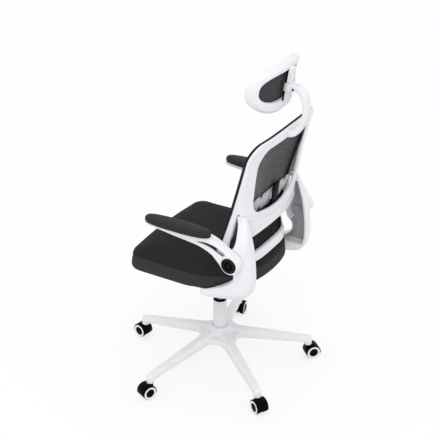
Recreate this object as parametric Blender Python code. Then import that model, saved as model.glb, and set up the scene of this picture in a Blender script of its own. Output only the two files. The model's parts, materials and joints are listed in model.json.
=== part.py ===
"""Office chair with a mesh back, flip-up arms and an adjustable headrest.

Metres, +Z up. The chair faces -Y, the sitter's left is +X, and the origin is on the floor
under the column. Every piece is one closed solid, named as it would be on the bench.
"""
import math

import bmesh
import bpy
from mathutils import Matrix, Vector

# Clearances
GAP = 0.0003
SLACK = 0.0006

# Star base
LEG_COUNT = 5
FIRST_LEG_ANGLE = 270.0
STEM_CIRCLE_RADIUS = 0.325
LEG_SLOPE = 0.215
LEG_TIP_WIDTH = 0.0290
LEG_ROOT_WIDTH = 0.044
LEG_TIP_DEPTH = 0.024
LEG_ROOT_DEPTH = 0.037
LEG_WALL = 0.004
LEG_POCKETS = 4
RIB_THICKNESS = 0.0035
SOCKET_HEIGHT = 0.036
SOCKET_WALL = 0.0088
HUB_TOP_RADIUS = 0.036
HUB_SKIRT_RADIUS = 0.052
HUB_RISE = 0.013
HUB_TUBE_WALL = 0.0075
HUB_TUBE_DROP = 0.018

# Casters
WHEEL_RADIUS = 0.0255
WHEEL_WIDTH = 0.0187
WHEEL_FACETS = 16
CHEEK_FACETS = 16
CASTER_TRAIL = 0.0157
CASTER_HEADINGS = (-10.7, -6.2, 6.3, 12.0, -5.7)
HOOD_WALL = 0.0013
HOOD_WEB = 0.0088
HOOD_CUT_HEIGHT = 0.019
AXLE_RADIUS = 0.0032
STEM_RADIUS = 0.0055
STEM_FLANGE_RADIUS = 0.0098
STEM_FLANGE = 0.0012
STEM_INSERT = 0.020

# Gas column
COLUMN_RADIUS = 0.0245
COLUMN_WALL = 0.0022
COLUMN_TAPER = 0.0012
COLUMN_EXPOSED = 0.104
BUSH_FLANGE = 0.0045
BUSH_LENGTH = 0.060
CYLINDER_RADIUS = 0.014
CYLINDER_INSERT = 0.066
ROD_RADIUS = 0.005
LIFT_STROKE = 0.100

# Tilt mechanism under the seat
SEAT_BOTTOM = 0.452
PLATE_THICKNESS = 0.003
PLATE_HALF_WIDTH = 0.085
PLATE_FRONT = -0.118
PLATE_REAR = 0.112
HOUSING_DEPTH = 0.077
HOUSING_HALF_WIDTH = 0.050
HOUSING_FRONT = -0.092
HOUSING_REAR = 0.062
HOUSING_WALL = 0.003
TILT_AXIS_Y = -0.050
TILT_AXIS_DROP = 0.027
TILT_RANGE = 15.0
PIN_RADIUS = 0.006
SPRING_TURNS = 5
SPRING_RADIUS = 0.0135
SPRING_WIRE = 0.0026
KNOB_RADIUS = 0.022
KNOB_HEIGHT = 0.026
LEVER_DROP = 0.046
LEVER_Y = -0.018
LEVER_REACH = 0.262
LEVER_RADIUS = 0.0045

# Seat
SEAT_HALF_WIDTH = 0.240
SEAT_FRONT = -0.245
SEAT_REAR = 0.221
SEAT_FRONT_CORNER = 0.048
CUSHION_SIDE = 0.060
CUSHION_CROWN = 0.020
CUSHION_DRAW_IN = 0.002
WATERFALL = 0.005
PAN_THICKNESS = 0.010
PAN_INSET = 0.018

# Brackets that carry the back and the arms
BRACKET_TUCK = 0.0045
BRACKET_INNER_X = 0.178
BRACKET_ROUNDING = 0.036
SEAM_RISE = 0.285
BRACKET_WALL = 0.006
BRACKET_WEB = 0.022
PIVOT_Y = 0.1927
PIVOT_RISE = 0.1425
PIVOT_RADIUS = 0.008

# Arms
ARM_THICKNESS = 0.034
ARM_PAD_OVERHANG = 0.025
ARM_PAD_RISE = 0.0825
PAD_CENTRE_Y = -0.0040
PAD_HALF_LENGTH = 0.1250
PAD_HALF_WIDTH = 0.030
PAD_THICKNESS = 0.022
CAP_RADIUS = 0.0272
CAP_RIM = 0.0050
CAP_THICKNESS = 0.0032

# Back
BACK_HALF_WIDTH = 0.221
WAIST_HALF_WIDTH = 0.192
BACK_TOP_RISE = 0.550
BACK_BOTTOM_RISE = 0.084
BACK_TOP_CORNER = 0.060
BACK_BOTTOM_CORNER = 0.085
HOOP_WIDTH = 0.018
HOOP_BOTTOM_WIDTH = 0.030
FRAME_THICKNESS = 0.012
OPENING_HALF_WIDTH = 0.168
OPENING_TOP_RISE = 0.514
OPENING_BOTTOM_RISE = 0.262
OPENING_CORNER = 0.060
RAIL_ARCH = 0.012
RAIL_LOW_RISE = 0.180
MESH_THICKNESS = 0.003
MESH_BORDER = 0.006
MESH_OVERHANG = 0.0015
MESH_REST = 0.0013

# Lumbar support
LUMBAR_HALF_WIDTH = 0.125
LUMBAR_HEIGHT = 0.058
LUMBAR_RISE = 0.292
LUMBAR_PLATE = 0.005
LUMBAR_SETBACK = 0.0035
LUMBAR_TRAVEL = 0.015
LUMBAR_RAIL_HALF_WIDTH = 0.020
LUMBAR_RAIL_THICKNESS = 0.005

# Headrest
HEAD_Y = 0.250
HEAD_RISE = 0.690
HEAD_LEAN = 9.1
HEAD_HALF_WIDTH = 0.147
HEAD_HALF_HEIGHT = 0.081
HEAD_ROUNDNESS = 2.4
HEAD_HOLE_HALF_WIDTH = 0.122
HEAD_HOLE_HALF_HEIGHT = 0.045
HEAD_HOLE_RISE = 0.012
HEAD_DEPTH = 0.030
HEAD_PLATE = 0.014
HEAD_WALL = 0.005
HEAD_CURVE = 2.25
HEAD_STEPS = 28
HEAD_PAD_CROWN = 0.014
RIB_HALF_WIDTH = 0.013
RIB_DEPTH = 0.012
BLOCK_HALF_HEIGHT = 0.014
BLOCK_WALL = 0.0055
KNUCKLE_RADIUS = 0.0085
KNUCKLE_HALF_WIDTH = 0.0085
TONGUE_SWING = 22.0
NECK_HALF_WIDTH = 0.018
NECK_DEPTH = 0.017
NECK_PIN_RADIUS = 0.003

# Heights that follow from the sizes above
AXLE_HEIGHT = WHEEL_RADIUS
WHEEL_CORNER = WHEEL_RADIUS / math.cos(math.pi / WHEEL_FACETS)
CHEEK_RADIUS = (WHEEL_CORNER + GAP) / math.cos(math.pi / CHEEK_FACETS)
HOOD_RADIUS = CHEEK_RADIUS + HOOD_WALL
WHEEL_INNER = HOOD_WEB / 2 + SLACK / 2
WHEEL_OUTER = WHEEL_INNER + WHEEL_WIDTH
HOOD_HALF_WIDTH = WHEEL_OUTER - 0.0026
SOCKET_BOTTOM = AXLE_HEIGHT + HOOD_RADIUS + STEM_FLANGE + GAP
SOCKET_RADIUS = STEM_RADIUS + SOCKET_WALL
LEG_TIP_TOP = SOCKET_BOTTOM + SOCKET_HEIGHT
LEG_ROOT_TOP = LEG_TIP_TOP + LEG_SLOPE * (STEM_CIRCLE_RADIUS - HUB_SKIRT_RADIUS)
HUB_TOP = LEG_ROOT_TOP + HUB_RISE
HUB_BOTTOM = LEG_ROOT_TOP - LEG_ROOT_DEPTH - 0.003
COLUMN_TOP = HUB_TOP + COLUMN_EXPOSED
COLUMN_BOTTOM = HUB_BOTTOM - HUB_TUBE_DROP - 0.006
COLUMN_INNER = COLUMN_RADIUS - COLUMN_WALL - COLUMN_TAPER
PLATE_TOP = SEAT_BOTTOM - GAP
PLATE_UNDERSIDE = PLATE_TOP - PLATE_THICKNESS
TILT_AXIS_Z = SEAT_BOTTOM - TILT_AXIS_DROP
HOUSING_BOTTOM = SEAT_BOTTOM - HOUSING_DEPTH
SEAM_Z = SEAT_BOTTOM + SEAM_RISE
PIVOT_Z = SEAT_BOTTOM + PIVOT_RISE
BRACKET_OUTER_X = SEAT_HALF_WIDTH - BRACKET_TUCK
ARM_INNER_X = BRACKET_OUTER_X + SLACK
ARM_OUTER_X = ARM_INNER_X + ARM_THICKNESS
PAD_X = ARM_OUTER_X - PAD_HALF_WIDTH + ARM_PAD_OVERHANG
PAD_BOTTOM = PIVOT_Z + ARM_PAD_RISE + GAP
BACK_TOP = SEAT_BOTTOM + BACK_TOP_RISE
BACK_BOTTOM = SEAT_BOTTOM + BACK_BOTTOM_RISE
HEAD_CENTRE = Vector((0.0, HEAD_Y, SEAT_BOTTOM + HEAD_RISE))

SHARP_ANGLE = math.radians(38)

# Scene and materials


def clear_scene():
    for obj in list(bpy.data.objects):
        bpy.data.objects.remove(obj, do_unlink=True)


def make_material(name, colour, roughness, metallic=0.0):
    material = bpy.data.materials.new(name)
    material.use_nodes = True
    shader = material.node_tree.nodes["Principled BSDF"]
    shader.inputs["Base Color"].default_value = (*colour, 1.0)
    shader.inputs["Roughness"].default_value = roughness
    shader.inputs["Metallic"].default_value = metallic
    material.diffuse_color = (*colour, 1.0)
    return material


def make_empty(name, location, turn=0.0):
    empty = bpy.data.objects.new(name, None)
    empty.location = location
    empty.rotation_euler = (0.0, 0.0, turn)
    bpy.context.collection.objects.link(empty)
    return empty


def finished(bm, name):
    bmesh.ops.recalc_face_normals(bm, faces=bm.faces[:])
    mesh = bpy.data.meshes.new(name)
    bm.to_mesh(mesh)
    bm.free()
    mesh.shade_smooth()
    mesh.set_sharp_from_angle(angle=SHARP_ANGLE)
    return mesh


def add_piece(name, bm, material, parent=None, origin=(0.0, 0.0, 0.0)):
    """A solid drawn in world coordinates, with its own origin moved to a point on its joint's axis."""
    mesh = finished(bm, name)
    mesh.transform(Matrix.Translation(-Vector(origin)))
    mesh.materials.append(material)
    obj = bpy.data.objects.new(name, mesh)
    obj.location = origin
    bpy.context.collection.objects.link(obj)
    if parent is not None:
        obj.parent = parent
        obj.matrix_parent_inverse = Matrix.Translation(parent.location).inverted()
    return obj


def combine(target, tool_bm, operation):
    """Join a helper solid to a piece, or cut the piece with it."""
    tool = bpy.data.objects.new(operation.lower() + "_" + target.name, finished(tool_bm, "helper"))
    tool.hide_render = True
    tool.display_type = "WIRE"
    bpy.context.collection.objects.link(tool)
    modifier = target.modifiers.new(operation.lower(), "BOOLEAN")
    modifier.operation = operation
    modifier.solver = "EXACT"
    modifier.object = tool
    return tool


def baked_mesh(obj):
    """The mesh of a piece with its Boolean steps worked in, for pieces that share it."""
    depsgraph = bpy.context.evaluated_depsgraph_get()
    mesh = bpy.data.meshes.new_from_object(obj.evaluated_get(depsgraph))
    tools = [modifier.object for modifier in obj.modifiers]
    for helper in tools + [obj]:
        bpy.data.objects.remove(helper, do_unlink=True)
    mesh.shade_smooth()
    mesh.set_sharp_from_angle(angle=SHARP_ANGLE)
    return mesh


# Curves and outlines


def blend(a, b, share):
    return a + (b - a) * share


def ramp(value, low, high):
    """0 below low, 1 above high, and a smooth rise between them."""
    share = min(1.0, max(0.0, (value - low) / (high - low)))
    return share * share * (3.0 - 2.0 * share)


def smooth_path(points, count, closed=False):
    """Points on a smooth curve through a few chosen ones."""
    knots = [Vector(p) for p in points]
    last = len(knots) if closed else len(knots) - 1
    result = []
    for step in range(count):
        place = last * step / (count if closed else count - 1)
        index = min(int(place), last - 1)
        t = place - index
        if closed:
            a, b, c, d = (knots[(index + k) % len(knots)] for k in (-1, 0, 1, 2))
        else:
            b, c = knots[index], knots[index + 1]
            a = knots[index - 1] if index > 0 else b + (b - c)
            d = knots[index + 2] if index + 2 < len(knots) else c + (c - b)
        result.append(b + (c - a) * (t / 2) + (a * 2 - b * 5 + c * 4 - d) * (t * t / 2)
                      + (b * 3 - a - c * 3 + d) * (t * t * t / 2))
    return result


def arc(centre, radius, start, end, steps):
    angles = [math.radians(blend(start, end, k / steps)) for k in range(steps + 1)]
    return [Vector((centre[0] + radius * math.cos(a), centre[1] + radius * math.sin(a))) for a in angles]


def circle(radius, steps, phase=0.0):
    angles = [phase + math.tau * k / steps for k in range(steps)]
    return [Vector((radius * math.cos(a), radius * math.sin(a))) for a in angles]


def rounded_rectangle(left, right, low, high, radius, steps):
    return (arc((right - radius, low + radius), radius, -90, 0, steps)
            + arc((right - radius, high - radius), radius, 0, 90, steps)
            + arc((left + radius, high - radius), radius, 90, 180, steps)
            + arc((left + radius, low + radius), radius, 180, 270, steps))


def superellipse(half_width, half_height, power, steps):
    points = []
    for k in range(steps):
        c, s = math.cos(math.tau * k / steps), math.sin(math.tau * k / steps)
        points.append(Vector((half_width * math.copysign(abs(c) ** (2 / power), c),
                              half_height * math.copysign(abs(s) ** (2 / power), s))))
    return points


def signed_area(loop):
    return sum(a.x * b.y - b.x * a.y for a, b in zip(loop, loop[1:] + loop[:1])) / 2


def inset_loop(loop, distance):
    """The outline moved inwards by a distance, corner by corner."""
    side = 1.0 if signed_area(loop) > 0 else -1.0
    result = []
    for before, point, after in zip(loop[-1:] + loop[:-1], loop, loop[1:] + loop[:1]):
        one = (point - before).normalized()
        two = (after - point).normalized()
        normal = Vector((-one.y - two.y, one.x + two.x)).normalized()
        lean = max(0.35, normal.dot(Vector((-one.y, one.x))))
        result.append(point + normal * (side * distance / lean))
    return result


# Solids


def skin_rows(bm, rows, closed=False):
    pairs = list(zip(rows, rows[1:]))
    if closed:
        pairs.append((rows[-1], rows[0]))
    for one, two in pairs:
        for k in range(len(one)):
            n = (k + 1) % len(one)
            bm.faces.new((one[k], one[n], two[n], two[k]))


def loft(rings, closed=False):
    """A skin over rings of equal length. A closed one runs round, another is capped at both ends."""
    bm = bmesh.new()
    rows = [[bm.verts.new(point) for point in ring] for ring in rings]
    skin_rows(bm, rows, closed)
    if not closed:
        bm.faces.new(rows[0])
        bm.faces.new(rows[-1])
    return bm


def turned(profile, steps, place=None, phase=0.0, loop=False):
    """A profile of (radius, height) points turned about the height axis.

    A loop joins its last point to its first; any other profile starts and ends on the axis.
    """
    bm = bmesh.new()
    place = place or (lambda u, v, w: (u, v, w))
    rows = []
    for radius, height in profile:
        ring = [Vector((0.0, 0.0))] if radius == 0 else circle(radius, steps, phase)
        rows.append([bm.verts.new(place(p.x, p.y, height)) for p in ring])
    pairs = list(zip(rows, rows[1:]))
    if loop:
        pairs.append((rows[-1], rows[0]))
    for one, two in pairs:
        for k in range(steps):
            n = (k + 1) % steps
            if len(one) == 1:
                bm.faces.new((one[0], two[n], two[k]))
            elif len(two) == 1:
                bm.faces.new((one[k], one[n], two[0]))
            else:
                bm.faces.new((one[k], one[n], two[n], two[k]))
    return bm


def moulding(loops, low, high, place, soft_low=0.0, soft_high=0.0):
    """A plate between two depths. The first loop is its outline, the others are holes through it.

    The soft sizes bevel its rims. place turns (across, up, depth) into a point.
    """
    bm = bmesh.new()
    steps = [(low, soft_low)] if soft_low else []
    steps.append((low + soft_low, 0.0))
    steps.append((high - soft_high, 0.0))
    if soft_high:
        steps.append((high, soft_high))
    rims = ([], [])
    for index, loop in enumerate(loops):
        inward = 1.0 if index == 0 else -1.0
        rows = []
        for depth, inset in steps:
            ring = inset_loop(loop, inward * inset) if inset else loop
            rows.append([bm.verts.new(place(p.x, p.y, depth)) for p in ring])
        skin_rows(bm, rows)
        for rim, row in zip(rims, (rows[0], rows[-1])):
            rim.extend(bm.edges.get((a, b)) for a, b in zip(row, row[1:] + row[:1]))
    for rim in rims:
        bmesh.ops.triangle_fill(bm, use_beauty=True, use_dissolve=False, edges=rim)
    return bm


def merged(parts):
    """Solids that lie apart, as one helper."""
    bm = bmesh.new()
    for part in parts:
        mesh = bpy.data.meshes.new("scratch")
        part.to_mesh(mesh)
        part.free()
        bm.from_mesh(mesh)
        bpy.data.meshes.remove(mesh)
    return bm


def moved(bm, change):
    """Send every corner of a solid through a function of its place."""
    for vertex in bm.verts:
        vertex.co = change(vertex.co.copy())
    return bm


def along_x(side):
    """Place a YZ outline with its depth along X, on the left (+1) or the right (-1)."""
    return lambda u, v, w: Vector((side * w, u, v))


def flat(u, v, w):
    return Vector((u, v, w))


def rod_x(radius, low, high, y, z, steps=12):
    """A round bar along X."""
    return turned([(0.0, low), (radius, low), (radius, high), (0.0, high)], steps,
                  place=lambda u, v, w: Vector((w, y + u, z + v)))


def rod_z(radius, low, high, x=0.0, y=0.0, steps=16):
    """A round bar along Z."""
    return turned([(0.0, low), (radius, low), (radius, high), (0.0, high)], steps,
                  place=lambda u, v, w: Vector((x + u, y + v, w)))


# Star base and column


def leg_turn(index):
    return math.radians(FIRST_LEG_ANGLE + 360.0 * index / LEG_COUNT)


def leg_place(index):
    turn = Matrix.Rotation(leg_turn(index), 3, "Z")
    return lambda along, across, height: turn @ Vector((along, across, height))


def leg_top(radius):
    return LEG_TIP_TOP + LEG_SLOPE * (STEM_CIRCLE_RADIUS - radius)


def leg_share(radius):
    return (radius - HUB_SKIRT_RADIUS) / (STEM_CIRCLE_RADIUS - HUB_SKIRT_RADIUS)


def leg_width(radius):
    return blend(LEG_ROOT_WIDTH, LEG_TIP_WIDTH, leg_share(radius))


def leg_depth(radius):
    return blend(LEG_ROOT_DEPTH, LEG_TIP_DEPTH, leg_share(radius))


def leg_section(half_width, top, depth):
    """A crowned section, narrower at its crest than at its open underside."""
    right = [(1.0, 1.0), (0.92, 0.38), (0.66, 0.08), (0.30, 0.0)]
    half = [(half_width * across, top - depth * down) for across, down in right]
    return half + [(-across, height) for across, height in reversed(half)]


def leg_solid(index):
    place = leg_place(index)
    rings = []
    root = COLUMN_RADIUS + HUB_TUBE_WALL * 0.4
    span = STEM_CIRCLE_RADIUS - HUB_SKIRT_RADIUS
    for radius in (root, HUB_SKIRT_RADIUS + 0.12 * span, HUB_SKIRT_RADIUS + 0.55 * span, STEM_CIRCLE_RADIUS):
        section = leg_section(leg_width(radius) / 2, leg_top(radius), leg_depth(radius))
        rings.append([place(radius, across, height) for across, height in section])
    for angle in (35.0, 62.0, 82.0):
        bend = math.radians(angle)
        radius = STEM_CIRCLE_RADIUS + SOCKET_RADIUS * math.sin(bend)
        drop = 0.5 * LEG_TIP_DEPTH * (1.0 - math.cos(bend))
        section = leg_section(LEG_TIP_WIDTH / 2 * math.cos(bend), LEG_TIP_TOP - drop, LEG_TIP_DEPTH - drop)
        rings.append([place(radius, across, height) for across, height in section])
    return loft(rings)


def pocket_solid(index, pocket):
    """The hollow between two ribs under a leg."""
    first = HUB_SKIRT_RADIUS + RIB_THICKNESS
    last = STEM_CIRCLE_RADIUS - SOCKET_RADIUS - RIB_THICKNESS
    pitch = (last - first) / LEG_POCKETS
    place = leg_place(index)
    rings = []
    for radius in (first + pitch * pocket, first + pitch * (pocket + 1) - RIB_THICKNESS):
        half = leg_width(radius) / 2 - LEG_WALL
        floor = leg_top(radius) - leg_depth(radius) - LEG_WALL
        roof = leg_top(radius) - LEG_WALL * 1.6
        shoulder = roof - leg_depth(radius) * 0.42
        section = [(half, floor), (half * 0.90, shoulder), (half * 0.40, roof)]
        section += [(-across, height) for across, height in reversed(section)]
        rings.append([place(radius, across, height) for across, height in section])
    return loft(rings)


def stem_place(index):
    turn = leg_turn(index)
    return STEM_CIRCLE_RADIUS * math.cos(turn), STEM_CIRCLE_RADIUS * math.sin(turn)


def column_radius_at(height):
    """The tube is straight above the hub and tapers down to its foot inside it."""
    return COLUMN_RADIUS - COLUMN_TAPER * min(1.0, max(0.0, (HUB_TOP - height) / (HUB_TOP - COLUMN_BOTTOM)))


def build_star_base(material):
    bore_low = HUB_BOTTOM - HUB_TUBE_DROP
    tube = column_radius_at(HUB_BOTTOM) + HUB_TUBE_WALL
    profile = [(column_radius_at(HUB_TOP) * 0.6, HUB_TOP), (HUB_TOP_RADIUS, HUB_TOP),
               (HUB_TOP_RADIUS + 0.003, HUB_TOP - 0.004),
               (blend(HUB_TOP_RADIUS, HUB_SKIRT_RADIUS, 0.5), LEG_ROOT_TOP),
               (HUB_SKIRT_RADIUS, LEG_ROOT_TOP - 0.4 * LEG_ROOT_DEPTH), (HUB_SKIRT_RADIUS, HUB_BOTTOM),
               (tube, HUB_BOTTOM), (tube, bore_low), (column_radius_at(bore_low) * 0.6, bore_low)]
    base = add_piece("star_base", turned(profile, 20, loop=True), material)
    for index in range(LEG_COUNT):
        combine(base, leg_solid(index), "UNION")
    sockets = [rod_z(SOCKET_RADIUS, SOCKET_BOTTOM, LEG_TIP_TOP - 0.5 * LEG_TIP_DEPTH, *stem_place(index), 12)
               for index in range(LEG_COUNT)]
    combine(base, merged(sockets), "UNION")
    pockets = [pocket_solid(index, pocket) for index in range(LEG_COUNT) for pocket in range(LEG_POCKETS)]
    combine(base, merged(pockets), "DIFFERENCE")
    low, high = bore_low - 0.002, HUB_TOP + 0.002
    bores = [turned([(0.0, low), (column_radius_at(low) + GAP, low), (column_radius_at(high) + GAP, high),
                     (0.0, high)], 24)]
    bore = (STEM_RADIUS + GAP) / math.cos(math.pi / 8)
    bores += [rod_z(bore, SOCKET_BOTTOM - 0.002, SOCKET_BOTTOM + STEM_INSERT + 0.001, *stem_place(index), 8)
              for index in range(LEG_COUNT)]
    combine(base, merged(bores), "DIFFERENCE")


def build_column(white, black, steel):
    foot = COLUMN_BOTTOM + 0.003
    rim = 0.0012
    tube = [(COLUMN_RADIUS - rim, COLUMN_TOP), (COLUMN_RADIUS, COLUMN_TOP - rim), (COLUMN_RADIUS, HUB_TOP),
            (column_radius_at(COLUMN_BOTTOM), COLUMN_BOTTOM), (ROD_RADIUS + GAP, COLUMN_BOTTOM),
            (ROD_RADIUS + GAP, foot), (COLUMN_INNER, foot), (COLUMN_INNER, COLUMN_TOP)]
    add_piece("column_tube", turned(tube, 24, loop=True), white)
    sleeve = COLUMN_INNER - GAP
    bush = [(CYLINDER_RADIUS + GAP, COLUMN_TOP + BUSH_FLANGE), (sleeve - 0.001, COLUMN_TOP + BUSH_FLANGE),
            (COLUMN_RADIUS - rim, COLUMN_TOP + BUSH_FLANGE * 0.6), (COLUMN_RADIUS - rim, COLUMN_TOP + GAP),
            (sleeve, COLUMN_TOP + GAP), (sleeve, COLUMN_TOP - BUSH_LENGTH),
            (CYLINDER_RADIUS + GAP, COLUMN_TOP - BUSH_LENGTH)]
    add_piece("column_bush", turned(bush, 20, loop=True), black)
    collar = ROD_RADIUS * 1.9
    rod_top = COLUMN_TOP - CYLINDER_INSERT + LIFT_STROKE * 0.75
    rod = [(0.0, COLUMN_BOTTOM - 0.006), (ROD_RADIUS, COLUMN_BOTTOM - 0.006), (ROD_RADIUS, foot + GAP),
           (collar, foot + GAP), (collar, foot + 0.005), (ROD_RADIUS, foot + 0.005), (ROD_RADIUS, rod_top),
           (0.0, rod_top)]
    add_piece("gas_rod", turned(rod, 12), steel)
    clip = [(ROD_RADIUS + GAP, COLUMN_BOTTOM - GAP), (collar, COLUMN_BOTTOM - GAP),
            (collar, COLUMN_BOTTOM - 0.0022), (ROD_RADIUS + GAP, COLUMN_BOTTOM - 0.0022)]
    add_piece("column_clip", turned(clip, 16, loop=True), steel)


def build_gas_cylinder(steel):
    bottom = COLUMN_TOP - CYLINDER_INSERT
    top = housing_line(CYLINDER_RADIUS) - 0.004
    bore_end = top - 0.020
    chamfer = 0.0015
    profile = [(0.0, top), (CYLINDER_RADIUS - chamfer, top), (CYLINDER_RADIUS, top - chamfer),
               (CYLINDER_RADIUS, bottom), (ROD_RADIUS + SLACK, bottom), (ROD_RADIUS + SLACK, bore_end),
               (0.0, bore_end)]
    axis = (0.0, 0.0, COLUMN_TOP)
    add_piece("gas_cylinder", turned(profile, 20), steel, make_empty("lift_axis", axis), axis)


# Casters


def wheel_profile(side):
    """Tyre, raised ring and sunk centre disc, with a blind bore for the axle."""
    bore = AXLE_RADIUS + GAP
    ring_outer, ring_inner = WHEEL_RADIUS * 0.90, WHEEL_RADIUS * 0.68
    sunk = WHEEL_OUTER - 0.0010
    bore_end = WHEEL_OUTER - 0.0045
    points = [(0.0, sunk), (ring_inner, sunk), (ring_inner + 0.0008, WHEEL_OUTER), (ring_outer, WHEEL_OUTER),
              (WHEEL_RADIUS, WHEEL_OUTER - 0.0026), (WHEEL_RADIUS, WHEEL_INNER), (bore, WHEEL_INNER),
              (bore, bore_end), (0.0, bore_end)]
    corner = 1.0 / math.cos(math.pi / WHEEL_FACETS)
    return [(radius * corner, side * across) for radius, across in points]


def wheel_place(u, v, w):
    return Vector((w, u, v))


def hood_solid(black):
    """A barrel over both wheels, with a web between them, a collar for the stem and its bores."""
    reach = math.degrees(math.asin((HOOD_CUT_HEIGHT - AXLE_HEIGHT) / HOOD_RADIUS))
    outline = arc((CASTER_TRAIL, AXLE_HEIGHT), HOOD_RADIUS, reach, 180.0 - reach, 10)
    hood = add_piece("hood", moulding([outline], -HOOD_HALF_WIDTH, HOOD_HALF_WIDTH, along_x(1)), black)
    collar_top = SOCKET_BOTTOM - STEM_FLANGE - 2 * GAP
    combine(hood, rod_z(STEM_FLANGE_RADIUS, AXLE_HEIGHT, collar_top, 0.0, 0.0, 12), "UNION")
    cheeks = [rod_x(CHEEK_RADIUS, side * HOOD_WEB / 2, side * (WHEEL_OUTER + 0.01),
                    CASTER_TRAIL, AXLE_HEIGHT, CHEEK_FACETS) for side in (-1, 1)]
    combine(hood, merged(cheeks), "DIFFERENCE")
    axle = rod_x(AXLE_RADIUS + GAP, -HOOD_WEB, HOOD_WEB, CASTER_TRAIL, AXLE_HEIGHT, 8)
    stem = rod_z(STEM_RADIUS * 0.6 + GAP, AXLE_HEIGHT + 0.008, collar_top + 0.002, 0.0, 0.0, 8)
    combine(hood, merged([axle, stem]), "DIFFERENCE")
    return baked_mesh(hood)


def build_casters(black, steel):
    hood_mesh = hood_solid(black)
    tail = AXLE_HEIGHT + 0.0085
    collar_top = SOCKET_BOTTOM - STEM_FLANGE - GAP
    flange_top = SOCKET_BOTTOM - GAP
    tip = SOCKET_BOTTOM + STEM_INSERT
    thin = STEM_RADIUS * 0.6
    stem = [(0.0, tail), (thin, tail), (thin, collar_top), (STEM_FLANGE_RADIUS, collar_top),
            (STEM_FLANGE_RADIUS, flange_top), (STEM_RADIUS, flange_top), (STEM_RADIUS, tip - 0.002),
            (STEM_RADIUS * 0.7, tip), (0.0, tip)]
    axle_end = WHEEL_OUTER - 0.0045 - GAP
    for index in range(LEG_COUNT):
        name = "caster_%d" % (index + 1)
        turn = leg_turn(index) - math.pi / 2 + math.radians(CASTER_HEADINGS[index])
        swivel = make_empty(name + "_swivel", (*stem_place(index), 0.0), turn)
        add_local(name + "_stem", finished(turned(stem, 8), name), steel, swivel)
        add_local(name + "_hood", hood_mesh, black, swivel)
        centre = (0.0, CASTER_TRAIL, AXLE_HEIGHT)
        add_local(name + "_axle", finished(rod_x(AXLE_RADIUS, -axle_end, axle_end, 0.0, 0.0, 8), name),
                  steel, swivel, centre)
        for letter, side in (("a", 1), ("b", -1)):
            wheel = turned(wheel_profile(side), WHEEL_FACETS, place=wheel_place,
                           phase=-math.pi / 2 + math.pi / WHEEL_FACETS)
            add_local(name + "_wheel_" + letter, finished(wheel, name), black, swivel, centre)


def add_local(name, mesh, material, parent, location=(0.0, 0.0, 0.0)):
    """A piece drawn about its own origin and carried by an empty."""
    if not mesh.materials:
        mesh.materials.append(material)
    obj = bpy.data.objects.new(name, mesh)
    obj.parent = parent
    obj.location = location
    bpy.context.collection.objects.link(obj)


# Tilt mechanism


def housing_line(y):
    """The highest the housing may reach at y, below the seat plate in its furthest tilt."""
    tilt = math.radians(TILT_RANGE)
    rise = PLATE_UNDERSIDE - TILT_AXIS_Z
    line = TILT_AXIS_Z + (rise - (y - TILT_AXIS_Y) * math.sin(tilt)) / math.cos(tilt)
    return min(PLATE_UNDERSIDE, line) - 0.002


def build_mechanism(steel, black):
    swivel = make_empty("swivel_axis", (0.0, 0.0, HOUSING_BOTTOM))
    front_top = PLATE_UNDERSIDE - 0.004
    slope_start = blend(TILT_AXIS_Y, 0.0, 0.4)
    side = [(HOUSING_FRONT, HOUSING_BOTTOM + 0.012), (HOUSING_FRONT + 0.014, HOUSING_BOTTOM),
            (HOUSING_REAR, HOUSING_BOTTOM), (HOUSING_REAR, housing_line(HOUSING_REAR)),
            (slope_start, housing_line(slope_start)), (slope_start - 0.006, front_top),
            (HOUSING_FRONT, front_top)]
    outline = [Vector(p) for p in side]
    shell = moulding([outline], -HOUSING_HALF_WIDTH, HOUSING_HALF_WIDTH, along_x(1))
    housing = add_piece("mech_housing", shell, steel, swivel)
    wall = HOUSING_WALL
    hollow = rounded_rectangle(-HOUSING_HALF_WIDTH + wall, HOUSING_HALF_WIDTH - wall, HOUSING_FRONT + wall,
                               HOUSING_REAR - wall, 0.006, 2)
    combine(housing, moulding([hollow], HOUSING_BOTTOM + 0.013, SEAT_BOTTOM + 0.01, flat), "DIFFERENCE")
    boss = CYLINDER_RADIUS + 0.008
    combine(housing, rod_z(boss, HOUSING_BOTTOM + 0.002, housing_line(boss), 0.0, 0.0, 20), "UNION")
    bore = rod_z(CYLINDER_RADIUS + GAP, HOUSING_BOTTOM - 0.01, SEAT_BOTTOM, 0.0, 0.0, 20)
    reach = HOUSING_HALF_WIDTH + 0.01
    pin = rod_x(PIN_RADIUS + GAP, -reach, reach, TILT_AXIS_Y, TILT_AXIS_Z, 16)
    screw = rod_z(0.0043, HOUSING_BOTTOM - 0.01, HOUSING_BOTTOM + 0.02, 0.0, TILT_AXIS_Y, 12)
    combine(housing, merged([bore, pin, screw]), "DIFFERENCE")
    build_tension(steel, black, swivel)
    build_lever(black, swivel)


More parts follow.
